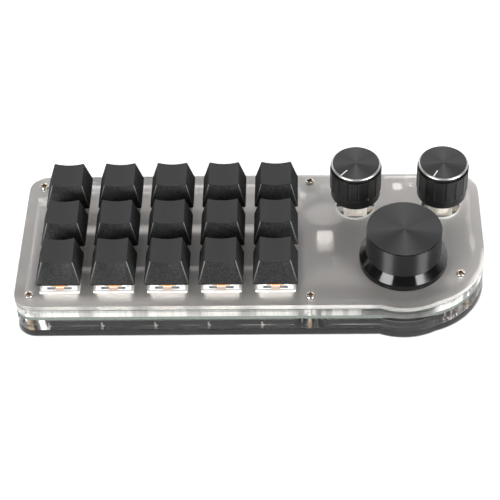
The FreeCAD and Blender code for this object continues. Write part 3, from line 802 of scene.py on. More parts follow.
def turned_metal(name, side, colour, light, roughness, depth, pitch=9000.0, metallic=1.0, spun=False, **sockets):
    """Lathe-turned finish whose rings are centred on its own knob, and whose shine is drawn out across
    them; a spun one also takes rays and two dark wedges of painted reflection into its colour."""
    material, shader, place = finish(name, Metallic=metallic, **sockets)
    if "Anisotropic" in sockets:
        around = add("Tangent", {"direction_type": "RADIAL", "axis": "Z"}, shader.id_data)
        wire(shader, Tangent=around.outputs[0])
    x, y = (-value * METRES for value in knob_places[side])
    centred = add("Mapping", Vector=place, Location=(x, y, 0.0)).outputs[0]
    height, drift = use(rings, Vector=centred, Pitch=pitch)
    tone = mix(drift, colour, light)
    if spun:
        # Spun tops: rays and dark wedges of painted reflection towards the front corners, dimmed into the colour
        tone = mix(use(rays_and_painted_wedges, Vector=centred)[0], dimmed(colour, 0.15), tone)
    wire(shader, Base_Color=tone, Roughness=remap(drift, 0.0, 1.0, roughness, roughness + 0.08, False))
    raise_surface(shader, height, 1.0, depth)
    return material


def let_lamps_through(shader, tint):
    """Rays from lamps pass through the sheet and take its tint, so that what lies behind it is lit."""
    owner = shader.id_data
    shadow = add("LightPath", None, owner).outputs["Is Shadow Ray"]
    through = add("BsdfTransparent", None, owner, Color=tint).outputs[0]
    both = add("MixShader", i0=shadow, i1=shader.outputs[0], i2=through)
    wire(owner.nodes["Material Output"], Surface=both.outputs[0])


def header_plastic():
    """White moulding that stands close under the frosted sheet, with painted glow: stronger on its top than on
    its low ledge.
    """
    material, shader, place = moulded(
        "header_white", (0.85, 0.85, 0.83, 1), grey(0.9), 0.35, 0.05, 2500.0, 0.00001
    )
    low, high = (corner[2] * METRES for corner in box("board_header"))
    give_light(shader, remap(split(place)[2], (low + high) / 2, high, 0.35, 1.0), (0.8, 0.78, 0.74, 1))
    return material


def clear_acrylic(name, tint):
    """Clear acrylic with faint upright saw marks on its cut edge; returns these too."""
    material, shader, place = finish(name, Base_Color=tint, Roughness=0.02, IOR=1.49, Transmission_Weight=1.0)
    saw_marks = noise(stretched(place, 1.0, 1.0, 0.02), 1400.0, 2.0)
    raise_surface(shader, saw_marks, 0.15, 0.00001)
    let_lamps_through(shader, (0.95, 0.97, 0.96, 1))
    return material, shader, place, saw_marks


def upper_clear():
    """Clear sheet whose cut edge carries painted light of the case: weaker to the right, dull between the keys
    and under the lobe, in patches beyond the keys."""
    material, shader, place, saw_marks = clear_acrylic("clear_acrylic_upper", (0.97, 0.985, 0.98, 1))
    x, _, z = split(place)
    blocks = times(remap(use(keys, Vector=place)["Across"], 0.0073, 0.0079), fade(x, 0.018, 0.022, 0.35))
    patches = noise(stretched(place, 1.0, 0.3, 0.02), 170.0, 1.0)
    patches = blend_value(remap(x, 0.012, 0.03, 0.1, 1.0), 1.0, remap(patches, 0.42, 0.56, 0.45, 1.35))
    fall = blend_value(hump(x, 0.04, 0.048, 0.068, 0.076), remap(x, -0.07, 0.06, 0.62, 0.27), 0.03)
    fall = blend_value(remap(x, 0.07, 0.074), fall, 0.6)
    behind = add("NewGeometry", None, shader.id_data).outputs["Backfacing"]
    top = box("upper_spacer")[1][2] * METRES
    light = times(
        fall, remap(saw_marks, 0.35, 0.65, 0.85, 1.1), patches, shade_of(shader), maths("SUBTRACT", 1.0, blocks),
        maths("SUBTRACT", 1.0, behind), fade(z, top - 0.0002, top - 0.00005),
    )
    give_light(shader, light, (0.98, 0.97, 0.93, 1))
    return material


def lower_clear():
    """Clear sheet with painted light on its inner wall: a thin broken line along the foot, small painted glints
    beside the keys' middles, and chips of light at the right."""
    material, shader, place, _ = clear_acrylic("clear_acrylic_lower", (0.95, 0.94, 0.94, 1))
    x, y, z = split(place)
    foot = box("lower_spacer")[0][2] * METRES
    wall = times(fade(maths("ABSOLUTE", facing(shader)[2]), 0.3, 0.6), maths("SUBTRACT", 1.0, shade_of(shader)))
    line = times(
        remap(x, -0.06, 0.04, 0.12, 0.3), remap(noise(place, 60.0, 1.0), 0.42, 0.55),
        remap(x, 0.043, 0.055, 1.0, 0.2), fade(z, foot + 0.00015, foot + 0.0004),
    )
    chips = noise(stretched(place, 1.0, 1.0, 0.4), 420.0, 3.0)
    chips = times(remap(chips, 0.52, 0.6, 0.0, 0.3), remap(x, 0.067, 0.075))
    left = use(keys, Vector=place)["Left"]
    toe = maths("MAXIMUM", remap(left, 0.0048, 0.005), fade(z, foot + 0.0004, foot + 0.0006))
    glint = times(hump(left, 0.0042, 0.0044, 0.0054, 0.0056), fade(z, foot + 0.0016, foot + 0.0019), toe)
    glint = times(glint, fade(y, -0.03, -0.029, 0.4), fade(x, 0.012, 0.02))
    give_light(shader, times(total(line, chips, glint), wall), (0.95, 0.86, 0.82, 1))
    return material


def frosted_sheet():
    """Frosted smoke acrylic: satin grey faces that let blurred light through, painted darker in the keys' field
    as painted shade; bright cut edges with a painted shadow along their foot; and painted light of the case and
    painted pools of light between the keys."""
    material, shader, place = finish("frosted_acrylic", IOR=1.49, Transmission_Weight=0.85)
    face = flatness(shader)
    made = use(grain, Vector=place, Size=5200.0, Patches=14.0)
    smudge = use(marks, Vector=place, Smudge_Size=30.0, Scratch_Size=120.0)["Smudge"]
    field, glow = use(case_light, Vector=place)
    plain = mix(made["Tone"], (0.8, 0.768, 0.755, 1), (0.84, 0.808, 0.795, 1))
    # Painted shade: a darker colour inside the keys' field
    plain = mix(field, plain, (0.5, 0.475, 0.465, 1))
    x, y, z = split(place)
    seat = box("top_plate")[0][2] * METRES
    # Painted shadow along the foot of the cut edge; the rest of the edge is light
    edge = mix(remap(z, seat + 0.0002, seat + 0.00035), (0.14, 0.1, 0.09, 1), (0.6, 0.605, 0.58, 1))
    rough = blend_value(face, 0.25, remap(smudge, 0.0, 1.0, 0.4, 0.43, False))
    wire(shader, Base_Color=mix(face, edge, plain), Roughness=rough)
    # Painted light: bands between the keys and a strip along the front
    strong = use(bands, Vector=place, Start=0.0091, Depth=0.0058)["Mask"]
    weak = use(bands, Vector=place, Start=-0.0138, Depth=0.003)["Mask"]
    front = times(fade(y, -0.031, -0.028), remap(x, -0.06, -0.01, 0.36, 0.09), fade(x, 0.005, 0.03))
    pools = times(total(strong, times(weak, 0.33), front), 4.9)
    # Painted light on the cut edges, stronger to the right
    lit_edge = remap(x, -0.04, 0.04, 0.0, 7.0, False)
    lit_edge = blend_value(hump(x, 0.045, 0.05, 0.066, 0.074), lit_edge, 2.5)
    light = blend_value(face, lit_edge, blend_value(field, glow, pools))
    give_light(shader, times(light, 0.1), (0.55, 0.535, 0.52, 1))
    raise_surface(shader, made["Height"], 0.3, 0.000003)
    let_lamps_through(shader, (0.8, 0.78, 0.77, 1))
    return material


def bar(pattern, near, far, low, high):
    """Mask of a bar on a switch's front: between two distances from its middle and between two heights."""
    soft = 0.00012
    mask = hump(pattern["Across"], near - soft, near, far, far + soft)
    rise = hump(pattern["Height"], low - soft, low, high, high + soft)
    return times(mask, rise, maths("LESS_THAN", pattern["Front"], -0.005))


def switch_plastic(name):
    return moulded(name, (0.7, 0.7, 0.67, 1), (0.76, 0.76, 0.73, 1), 0.25, 0.05, 2500.0, 0.00001)


def switch_cover():
    """Clear white cover with its front painted: the slot dark as painted shade, the stem's orange and its amber
    rails as if seen behind it, and two small dark bars at the sides as painted shade."""
    material, shader, place = switch_plastic("switch_cover_white")
    pattern = use(keys, Vector=place)
    colour = fed(shader, "Base Color")
    # Painted shade in the slot and in two small dark bars; orange and amber painted as the stem seen behind
    for near, far, low, high, paint in (
        (-0.001, 0.0048, 0.0184, 0.0193, (0.15, 0.16, 0.19, 1)),
        (-0.001, 0.0034, 0.0195, 0.0214, (0.42, 0.3, 0.17, 1)),
        (-0.001, 0.00145, 0.0183, 0.0214, (0.72, 0.26, 0.1, 1)),
        (0.0055, 0.0063, 0.0197, 0.0207, (0.06, 0.06, 0.055, 1)),
    ):
        colour = mix(bar(pattern, near, far, low, high), colour, paint)
    wire(shader, Base_Color=colour)
    return material


def switch_housing():
    """Milky white plastic: the base under the sheet carries a little painted glow, fading down towards the
    board and above the sheet."""
    material, shader, place = switch_plastic("switch_white")
    nub = bar(use(keys, Vector=place), -0.001, 0.0028, 0.0175, 0.0179)
    wire(shader, Base_Color=mix(nub, fed(shader, "Base Color"), (0.36, 0.36, 0.33, 1)))
    z = split(place)[2]
    low, high = (corner[2] * METRES for corner in box("top_plate"))
    lift = remap(z, box("circuit_board")[1][2] * METRES, low)
    # Painted glow on the base under the sheet
    give_light(shader, times(fade(z, high - 0.0004, high + 0.0002), lift), (0.82, 0.8, 0.75, 1), 0.9)
    return material


def board_finish():
    """Dark solder mask over fine copper runs: a brick pattern's joints lift the mask a little."""
    material, shader, place = finish("board_laminate", IOR=1.5)
    pattern = {"offset": 0.37, "squash": 1.6}
    runs = add("TexBrick", pattern, Vector=place, Scale=220.0, i5=0.02, i6=0.3, i8=0.9, i9=0.35).outputs[1]
    weave = noise(place, 900.0, 3.0)
    mask = mix(runs, (0.02, 0.028, 0.024, 1), (0.035, 0.05, 0.042, 1))
    edge = mix(weave, (0.09, 0.115, 0.1, 1), (0.15, 0.17, 0.145, 1))
    wire(shader, Base_Color=mix(flatness(shader), edge, mask), Roughness=remap(weave, 0.3, 0.7, 0.3, 0.45))
    raise_surface(shader, runs, 0.3, 0.00004)
    return material


def polished_black():
    """Polished black acrylic with faint smudges and hair scratches."""
    material, shader, place = finish("black_acrylic", IOR=1.49, Specular_IOR_Level=0.35)
    smudge, scratch = use(marks, Vector=place)
    colour = mix(smudge, grey(0.012), (0.022, 0.02, 0.021, 1))
    wire(shader, Base_Color=colour, Roughness=remap(smudge, 0.0, 1.0, 0.12, 0.24))
    raise_surface(shader, scratch, 0.2, 0.00002)
    return material


finishes = {
    "frosted_acrylic": frosted_sheet(),
    "clear_upper": upper_clear(),
    "clear_lower": lower_clear(),
    "board_laminate": board_finish(),
    "black_acrylic": polished_black(),
    "cap": cap_plastic(),
    "switch_white": switch_housing(),
    "switch_cover": switch_cover(),
    "stem": plastic("stem_orange", (0.75, 0.24, 0.07, 1), (0.85, 0.3, 0.1, 1), 0.35, 0.05, 3000.0, 0.00001),
    "socket": plastic("socket_black", grey(0.02), grey(0.04), 0.4, 0.08, 2500.0, 0.00002),
    "header": header_plastic(),
    "chip": plastic("chip_black", grey(0.015), grey(0.03), 0.5, 0.08, 4000.0, 0.00002),
    "encoder_base": plastic(
        "encoder_plastic", (0.07, 0.15, 0.135, 1), (0.1, 0.19, 0.17, 1), 0.35, 0.05, 3000.0, 0.00001
    ),
    "rotor": plastic("rotor_plastic", grey(0.03), grey(0.05), 0.4, 0.05, 3000.0, 0.00001),
    # Lit and shaded copies of one tin: the right frame is painted darker and given less glow, as painted shade
    "left_encoder_metal": encoder_tin(
        "left_encoder_tin", "left", (0.84, 0.8, 0.75, 1), (0.92, 0.89, 0.84, 1), (0.12, 0.11, 0.1, 1)
    ),
    "right_encoder_metal": encoder_tin(
        "right_encoder_tin", "right", (0.5, 0.47, 0.43, 1), (0.58, 0.55, 0.5, 1), (0.07, 0.065, 0.06, 1)
    ),
    "usb_metal": socket_steel(),
    "screw_metal": screw_steel(),
    "bottom_screw_metal": stamped_metal("bottom_screw_steel", (0.82, 0.8, 0.77, 1), 0.2, 0.00001),
    "grub_metal": stamped_metal("set_screw_steel", grey(0.09), 0.3, 0.00001),
    "brass": stamped_metal("brass_standoff", (0.46, 0.34, 0.21, 1), 0.3, 0.00002),
    "big_side": turned_metal(
        "big_anodised_side", "big", grey(0.034), grey(0.043), 0.42, 0.000004, 9000.0, 0.8,
        Anisotropic=1.0, Anisotropic_Rotation=0.25,
    ),
}
for part, roughness, specular in (("foot", 0.1, 0.2), ("flare", 0.07, 1.0)):
    finishes[f"big_{part}"] = turned_metal(
        f"big_anodised_{part}", "big", grey(0.003), grey(0.004), roughness, 0.000001, 9000.0, 0.0,
        Specular_IOR_Level=specular,
    )
for side in sides:
    finishes[f"{side}_shaft"] = turned_metal(f"{side}_shaft_metal", side, grey(0.6), grey(0.7), 0.25, 0.00001)
    finishes[f"{side}_top"] = turned_metal(
        f"{side}_spun_top", side, grey(0.05), grey(0.062), 0.45, 0.000004, 14000.0, 0.6, True, Anisotropic=0.5
    )
for side in small_sides:
    finishes[f"{side}_body"] = turned_metal(
        f"{side}_anodised", side, grey(0.011), grey(0.016), 0.3, 0.00001, 6000.0, 0.4
    )
    finishes[f"{side}_ring"] = turned_metal(
        f"{side}_cut_ring", side, (0.55, 0.54, 0.52, 1), (0.65, 0.64, 0.62, 1), 0.36, 0.00001, 20000.0
    )


# Sheets


def screw_loops(radius):
    return [hole_loop(x, y, radius, 24) for x, y in screw_places]


def case_sheet(node, made, slot):
    piece(f"{node}_sheet", *made, finishes[slot], "case", [node], slot)


def make_top_plate():
    """Frosted sheet with a rounded square for each switch and circles for encoders and screws."""
    holes = [square_loop(x, y, switch_cutout, cutout_corner_radius) for x, y in key_places]
    holes += [hole_loop(x, y, knob_hole_radius, 64) for x, y in knob_places.values()]
    holes += screw_loops(screw_hole_radius)
    low, high = box("top_plate")
    case_sheet("top_plate", cut_sheet(outline, holes, low[2] + sheet_gap, high[2], edge_round), "frosted_acrylic")


def make_bottom_plate():
    """Black sheet with the countersinks' circles."""
    low, high = box("bottom_plate")
    made = cut_sheet(outline, screw_loops(countersink_radius), low[2], high[2] - sheet_gap, edge_round)
    case_sheet("bottom_plate", made, "black_acrylic")


def make_board():
    """Board without the lobe, with holes for the switches' posts and the screws."""
    low, high = box("circuit_board")
    holes = [hole_loop(x, y, post_hole_radius, 24) for x, y in key_places] + screw_loops(screw_hole_radius)
    made = cut_sheet(lambda inset: outline(inset, False), holes, low[2], high[2], 0.05)
    case_sheet("circuit_board", made, "board_laminate")


def notched_ring(window):
    """Ring open at the data socket, as one run: the outline from one side of the notch round to the other,
    then the window back the other way."""
    x = middle("usb_socket")[0]
    after = np.roll(window, -1, axis=0)
    start = np.flatnonzero((window[:, 0] > x) & (after[:, 0] < x) & (window[:, 1] > 0))[0] + 1
    inner = np.roll(window, -start, axis=0)[::-1]
    right, left = x + usb_notch_width / 2, x - usb_notch_width / 2
    inside = back_y - spacer_wall

    def run(inset):
        outer = np.roll(outline(inset), 25, axis=0)
        return np.concatenate([
            outer, [(right, back_y - inset), (right, inside)], inner, [(left, inside), (left, back_y - inset)]
        ])

    return run


def make_spacer(name, node, boss, hole, colour, notched=False):
    """Clear ring between the outline and its window, with a boss round each screw."""
    low, high = box(node)
    window = ring_window(boss)
    outer = notched_ring(window) if notched else outline
    holes = screw_loops(hole) if notched else [lambda inset: window] + screw_loops(hole)
    points, faces = cut_sheet(outer, holes, low[2] + sheet_gap, high[2] - sheet_gap, 0.04)
    rim = outline(0.0)
    away = np.linalg.norm(points[:, None, :2] - rim[None], axis=2).min(axis=1)
    on_rim = (away < 0.2) | (points[:, 1] > back_y - 0.2)
    return piece(name, points, faces, finishes[colour], "case", [node], "clear_acrylic", on_rim)


make_top_plate()
make_bottom_plate()
make_board()
make_spacer("upper_spacer_ring", "upper_spacer", upper_boss_radius, screw_hole_radius, "clear_upper", True)
make_spacer("lower_spacer_ring", "lower_spacer", lower_boss_radius, standoff_hole_radius, "clear_lower")


# Keycaps


def rounded_unit(corner_steps=6, side_steps=8):
    """Coefficients of a rounded rectangle's points: x = w a + r b and y = d c + r e for half sizes w, d and
    radius r."""
    rows = []
    for sx, sy, start in ((1, -1, -90), (1, 1, 0), (-1, 1, 90), (-1, -1, 180)):
        angle = np.radians(np.linspace(start, start + 90, corner_steps + 1))
        rows.append(np.stack([
            np.full(len(angle), sx), np.cos(angle) - sx, np.full(len(angle), sy), np.sin(angle) - sy
        ], axis=-1))
    full = []
    for row, after in zip(rows, rows[1:] + rows[:1]):
        share = np.linspace(0, 1, side_steps + 1)[1:-1, None]
        full += [row, row[-1] * (1 - share) + after[0] * share]
    return np.concatenate(full)


cap_unit = rounded_unit()


# Share of the painted highlight along the keycaps' front corners
def front_corner_highlight():
    """How far each point of a level is at the middle of one of the two front corners, from 0 to 1."""
    a, b, c, e = cap_unit.T
    turned_in = np.clip(1 - np.abs(b + a - np.sign(a) * math.sqrt(0.5)) / 0.3, 0, 1)
    return turned_in * (c < 0) * (e + c < 0) * (np.abs(e + c) < 0.999) * (np.abs(b + a) < 0.999)


cap_corner_highlight = front_corner_highlight()


def cap_plan(width, depth, share, inset, radius):
    """Plan points of a keycap's level, a share of the way from foot to top and drawn in by an inset."""
    a, b, c, e = cap_unit.T
    half_width = width / 2 + (cap_top_width - width) / 2 * share - inset
    half_depth = depth / 2 + (cap_top_depth - depth) / 2 * share - inset
    return np.stack([half_width * a + radius * b, half_depth * c + radius * e + cap_top_setback * share], axis=-1)


def cap_top_height(plan, height):
    """Height of the dished top: it drops to the front in a straight line, and to the middle with x
    squared."""
    x, y = plan[:, 0], plan[:, 1]
    back = cap_top_setback + cap_top_depth / 2
    hollow = 1 - np.clip(np.abs(x) / (cap_top_width / 2), 0, 1) ** 2
    return height - cap_front_drop * (back - y) / cap_top_depth - cap_dish_depth * hollow


def keycap_mesh(width, depth, height):
    """Levels from the inside of the foot, round the lip, up the tapered wall, over the rounded edge and in to
    the middle of the dish; then the hollow from the lip to its ceiling."""
    levels, shades = [], []

    def level(share, inset, rise, highlight_share=0.0):
        radius = max(cap_corner_radius + (cap_top_corner_radius - cap_corner_radius) * share - inset, 0.1)
        plan = cap_plan(width, depth, share, inset, radius)
        top = cap_top_height(plan, height)
        levels.append(np.column_stack([plan, rise(top) if callable(rise) else np.full(len(plan), rise)]))
        shades.append(cap_corner_highlight * highlight_share)

    lip = cap_lip_round
    for inset, z in ((cap_wall, 0.0), (lip, 0.0), (lip * 0.3, lip * 0.3), (0.0, lip), (0.0, cap_skirt - lip),
                     (0.0, cap_skirt)):
        level(0.0, inset, z)
    for share in np.linspace(0.04, 0.955, 8):
        # Painted highlight along the front corners, stronger towards the top
        highlight_share = min(1.0, 0.15 + 1.1 * share)
        level(share, 0.0, lambda top, share=share: cap_skirt + (top - cap_skirt) * share, highlight_share)
    for turn in np.radians([0, 25, 50, 70, 90]):
        inset = cap_edge_round * (1 - math.cos(turn))
        drop = cap_edge_round * (1 - math.sin(turn))
        level(0.98, inset, lambda top, drop=drop: top - drop)
    edge = levels[-1]
    centre = np.array([0.0, cap_top_setback])
    for scale in (0.97, 0.85, 0.65, 0.45, 0.25, 0.1):
        plan = centre + (edge[:, :2] - centre) * scale
        levels.append(np.column_stack([plan, cap_top_height(plan, height)]))
        shades.append(np.zeros(len(plan)))
    outer = np.concatenate(levels)
    columns = len(cap_unit)
    outer_points = np.concatenate([outer, [[*centre, cap_top_height(centre[None, :], height)[0]]]])
    outer_faces = [
        (band(len(levels), columns), True), (fan(len(outer) - columns, columns, len(outer), True), True)
    ]
    share_up = (cap_ceiling - cap_skirt) / (height - cap_skirt)
    inner = [levels[0]]
    for share, z in ((0.0, cap_skirt), (share_up * 0.5, cap_ceiling * 0.57), (share_up, cap_ceiling)):
        plan = cap_plan(width, depth, share, cap_wall, 0.8)
        inner.append(np.column_stack([plan, np.full(len(plan), z)]))
    ceiling = np.array([[0.0, cap_top_setback * share_up, cap_ceiling]])
    hollow = np.concatenate([*inner, ceiling]), [
        (band(4, columns)[:, ::-1], True), (fan(3 * columns, columns, 4 * columns, False), False)
    ]
    post = softened([
        (0, cap_post_start), (cap_post_radius, cap_post_start), (cap_post_radius, cap_ceiling), (0, cap_ceiling)
    ], 0.1, 2)
    points, faces = together([(outer_points, outer_faces), hollow, turned(post, 24, (0, 0), 0)])
    shade = np.zeros(len(points))
    shade[:len(outer)] = np.concatenate(shades)
    return *merged(points, faces), shade[merged_first(points)]


def make_keycaps():
    low, high = box("keycap_11")
    height = high[2] - low[2] + 0.02
    points, faces, shade = keycap_mesh(high[0] - low[0], high[1] - low[1], height)
    for tag, (x, y) in zip(key_tags, key_places):
        start = box(f"keycap_{tag}")[0][2]
        piece(
            f"cap_{tag}", points + np.array([x, y, start]), faces, finishes["cap"], f"key_{tag}",
            [f"keycap_{tag}"], "cap_plastic", shade,
        )


make_keycaps()


# Knobs


def flutes(radius, height, angle):
    """Taken off the drum's radius: flat lands, whose radius goes as one over the cosine of the angle from
    their middle, and a smooth notch between each two."""
    pitch = 2 * math.pi / flute_count
    local = (angle - flute_bearing + pitch) % pitch - pitch / 2
    land = drum_radius * (1 - math.cos(pitch / 2) / np.cos(local))
    off = (pitch / 2 - np.abs(local)) * drum_radius / (flute_width / 2)
    notch = flute_depth * np.clip(1 - off, 0, 1) ** 0.7
    on_drum = np.clip((radius - collar_radius) / (drum_radius - collar_radius), 0, 1)
    on_drum = on_drum * ((height > collar_height - 0.1) & (height < drum_top + 0.1))
    return on_drum * (land + notch)


def knob_part(side, part, profile, finish_name, steps=160, ring=False, shape=None):
    """Turned piece on a knob's own middle: a whole body, or a ring where its profile closes on itself."""
    node = f"{side}_knob"
    place, z = knob_places[side], box(node)[0][2]
    points, faces = turned_ring(profile, steps, place, z) if ring else turned(profile, steps, place, z, shape)
    slot = "spun_anodised" if side == "big" else "black_anodised"
    return piece(f"{node}_{part}", points, faces, finishes[f"{side}_{finish_name}"], f"{node}_set", [node], slot)


def make_small_knob(side):
    """Collar, fluted drum and neck in one turned piece, a bevelled bright ring, a spun disc and its
    pointer."""
    low, high = box(f"{side}_knob")
    top = high[2] - low[2] - pointer_rise
    ring_start = top - ring_bevel_height
    drum = softened([
        (0.0, knob_recess_height), (knob_recess_radius, knob_recess_height), (knob_recess_radius, 0.0),
        (collar_radius, 0.0), (collar_radius, collar_height), (drum_radius, collar_height),
        (drum_radius, drum_top), (neck_radius, drum_top), (neck_radius, ring_start), (0.0, ring_start),
    ], 0.16)
    bore_knob(knob_part(side, "drum", drum, "body", flute_count * 14, shape=flutes), side)
    disc_radius = ring_radius - ring_bevel_width
    inner = disc_radius - 0.02
    knob_part(side, "ring", [
        (neck_radius - 0.3, ring_start + 0.01), (ring_radius - 0.05, ring_start + 0.01),
        (ring_radius, ring_start + 0.04), (ring_radius - 0.03, ring_start + 0.12),
        (disc_radius + 0.04, top - 0.05), (inner, top - 0.01), (inner - 0.2, top - 0.1),
    ], "ring", 128, True)
    knob_part(side, "disc", softened([
        (0.0, ring_start + 0.02), (inner - 0.22, ring_start + 0.02), (inner - 0.22, top - 0.12),
        (inner - 0.02, top), (0.0, top),
    ], 0.03, 2), "top", 128)
    make_pointer(side, knob_places[side], low[2] + top, disc_radius)


def make_pointer(side, place, z, reach):
    """Bright line let into the disc: a flat bar along the pointer's bearing, its edges a hair above the
    disc."""
    along = np.linspace(pointer_start, reach + 0.1, 6)
    across = np.array([-0.5, -0.4, 0.4, 0.5]) * pointer_width
    rise = np.array([-0.02, pointer_rise, pointer_rise, -0.02])
    u, v = np.meshgrid(along, across, indexing="ij")
    angle = pointer_bearings[side]
    x = u * math.cos(angle) - v * math.sin(angle)
    y = u * math.sin(angle) + v * math.cos(angle)
    top = np.stack([x, y, np.broadcast_to(rise, x.shape)], axis=-1).reshape(-1, 3)
    under = top * np.array([1, 1, 0]) + np.array([0, 0, -0.08])
    rows, columns = len(along), len(across)
    here = (np.arange(rows - 1)[:, None] * columns + np.arange(columns - 1)[None, :]).ravel()
    quads = np.stack([here, here + columns, here + columns + 1, here + 1], axis=-1)
    edge = np.concatenate([
        np.arange(rows) * columns, (rows - 1) * columns + np.arange(1, columns),
        (np.arange(rows - 1)[::-1]) * columns + columns - 1, np.arange(1, columns - 1)[::-1],
    ])
    after = np.roll(edge, -1)
    count = rows * columns
    walls = np.stack([edge, edge + count, after + count, after], axis=-1)
    points = np.concatenate([top, under]) + np.array([*place, z])
    faces = [(quads, False), (quads[:, ::-1] + count, False), (walls, False)]
    piece(f"{side}_knob_pointer", points, faces, finishes[f"{side}_ring"], f"{side}_knob_set",
          [f"{side}_knob"], "black_anodised")


def bore_knob(made, side):
    """Round hole from the back of a knob to its set screw, cut with an exact boolean that is applied at
    once."""
    x, y = knob_places[side]
    z = middle(f"{side}_set_screw")[2]
    steps = 32
    angle = np.arange(steps) * 2 * math.pi / steps
    across, up = bore_radius * np.cos(angle), -bore_radius * np.sin(angle)
    rows = [np.stack([x + across, np.full(steps, y + far), z + up], axis=-1) for far in bore_ends]
    points = np.concatenate([*rows, [[x, y + far, z] for far in bore_ends]])
    faces = [band(2, steps), fan(0, steps, 2 * steps, False), fan(steps, steps, 2 * steps + 1, True)]
    mesh = bpy.data.meshes.new("bore")
    mesh.from_pydata((points * METRES).tolist(), [], [face for group in faces for face in group.tolist()])
    cutter = bpy.data.objects.new("bore", mesh)
    bpy.context.scene.collection.objects.link(cutter)
    cut = made.modifiers.new("bore", "BOOLEAN")
    cut.operation, cut.solver, cut.object = "DIFFERENCE", "EXACT", cutter
    bpy.context.view_layer.update()
    carved = bpy.data.meshes.new_from_object(made.evaluated_get(bpy.context.evaluated_depsgraph_get()))
    made.modifiers.clear()
    made.data = carved
    carved.shade_smooth()
    carved.set_sharp_from_angle(angle=math.radians(40))
    bpy.data.objects.remove(cutter)


def make_big_knob():
    """Dark foot, flare, satin side, bevel and spun top, as turned pieces that meet at the same radii."""
    low, high = box("big_knob")
    top = high[2] - low[2]
    shoulder = top - top_bevel
    inner = cavity_radius - 0.01
    knob_part("big", "foot", softened([
        (cavity_radius, 0.0), (flare_radius, 0.0), (flare_radius, flare_band), (cavity_radius, flare_band),
    ], 0.06, 3), "foot", ring=True)
    knob_part("big", "flare", softened([
        (cavity_radius, flare_band + 0.01), (flare_radius, flare_band + 0.01), (side_radius, flare_top),
        (side_radius - 0.6, flare_top), (cavity_radius, flare_top),
    ], 0.06, 3), "flare", ring=True)
    side = softened([
        (0.0, boss_start), (boss_radius, boss_start), (boss_radius, cavity_height), (inner, cavity_height),
        (inner, flare_top + 0.01), (side_radius, flare_top + 0.01), (side_radius, shoulder - 0.01),
        (0.0, shoulder - 0.01),
    ], 0.02, 2)
    bore_knob(knob_part("big", "side", side, "side"), "big")
    disc_radius = side_radius - top_bevel - 0.04
    knob_part("big", "bevel", softened([
        (disc_radius + 0.02, shoulder), (side_radius, shoulder), (side_radius - top_bevel, top - 0.02),
        (disc_radius + 0.02, top - 0.02),
    ], 0.015, 2), "flare", ring=True)
    disc = [(0.0, top - 0.2), (disc_radius, top - 0.2), (disc_radius, top), (0.0, top)]
    knob_part("big", "disc", softened(disc, 0.03, 2), "top")


for side in small_sides:
    make_small_knob(side)
make_big_knob()


# Screws and standoffs


def pan_head(place, z, turn):
    """Head as a height over polar rings: a flat dome whose rim falls with a circle, less a cross recess whose
    two arms are soft steps of the distance from each arm's line."""
    radius = np.concatenate([np.linspace(0.12, 1.3, 15), np.linspace(1.38, screw_head_radius, 6)])
    angle = np.arange(64) * 2 * math.pi / 64
    r, a = np.meshgrid(radius, angle, indexing="ij")
    share = np.clip((r - 0.6) / (screw_head_radius - 0.6), 0, 1)
    dome = screw_head_height * (0.55 + 0.45 * np.sqrt(np.clip(1 - share ** 2.6, 0, 1)))
    x, y = r * np.cos(a - turn), r * np.sin(a - turn)
    arms = np.minimum(np.abs(x), np.abs(y))
    side = np.clip((recess_half_width + 0.1 - arms) / 0.1, 0, 1)
    reach = np.clip((recess_reach - r) / 0.25, 0, 1)
    deep = side * reach
    rows = np.stack([r * np.cos(a), r * np.sin(a), dome - recess_depth * deep], axis=-1)
    wall = np.column_stack([circle(0, 0, screw_head_radius, 64), np.zeros(64)])
    grid_rows = np.concatenate([wall[None], rows[::-1]])
    points = np.concatenate([grid_rows.reshape(-1, 3), [[0, 0, screw_head_height - recess_depth], [0, 0, 0]]])
    count = len(grid_rows)
    faces = [
        (band(count, 64), True),
        (fan((count - 1) * 64, 64, count * 64, True), True),
        (fan(0, 64, count * 64 + 1, False), False),
    ]
    shade = np.concatenate([np.zeros(64), deep[::-1].ravel(), [1.0, 0.0]])
    return points + np.array([*place, z]), faces, shade


def threads(radius, height, angle):
    """Taken off a shank's radius: a sine that climbs with the angle, once round for each pitch."""
    return thread_depth * (0.5 + 0.5 * np.sin(angle + height * 2 * math.pi / thread_pitch))


def make_screws():
    """Pan heads, each with its own turn, and their shanks down to the standoffs."""
    low, high = box("top_screws")
    seat = high[2] - screw_head_height
    parts, shades = [], []
    for number, place in enumerate(screw_places):
        head_points, head_faces, shade = pan_head(place, seat, 0.5 + 1.3 * number)
        rows = np.linspace(low[2] + 0.1, seat - 0.1, 110)
        rows = np.column_stack([np.full(110, screw_shank_radius), rows])
        shank = np.concatenate([[(0, low[2])], rows, [(0, seat)]])
        parts += [(head_points, head_faces), turned(shank, 16, place, 0, threads)]
        shades += [shade, np.zeros(len(parts[-1][0]))]
    points, faces = together(parts)
    piece(
        "pan_screws", points, faces, finishes["screw_metal"], "case", ["top_screws"], "steel_screw",
        np.concatenate(shades),
    )


def make_standoffs():
    """Brass tubes with upright knurls: the radius falls with the size of a sine of the angle."""
    low, high = box("standoffs")
    knurl = lambda radius, height, angle: knurl_depth * np.abs(np.sin(angle * 10)) * (radius > 1.4)
    start, end = low[2] + sheet_gap, high[2] - sheet_gap
    profile = softened([(0, start), (standoff_radius, start), (standoff_radius, end), (0, end)], 0.15, 2)
    parts = [turned(profile, 80, place, 0, knurl) for place in screw_places]
    points, faces = together(parts)
    piece("brass_posts", points, faces, finishes["brass"], "case", ["standoffs"], "brass_standoff")


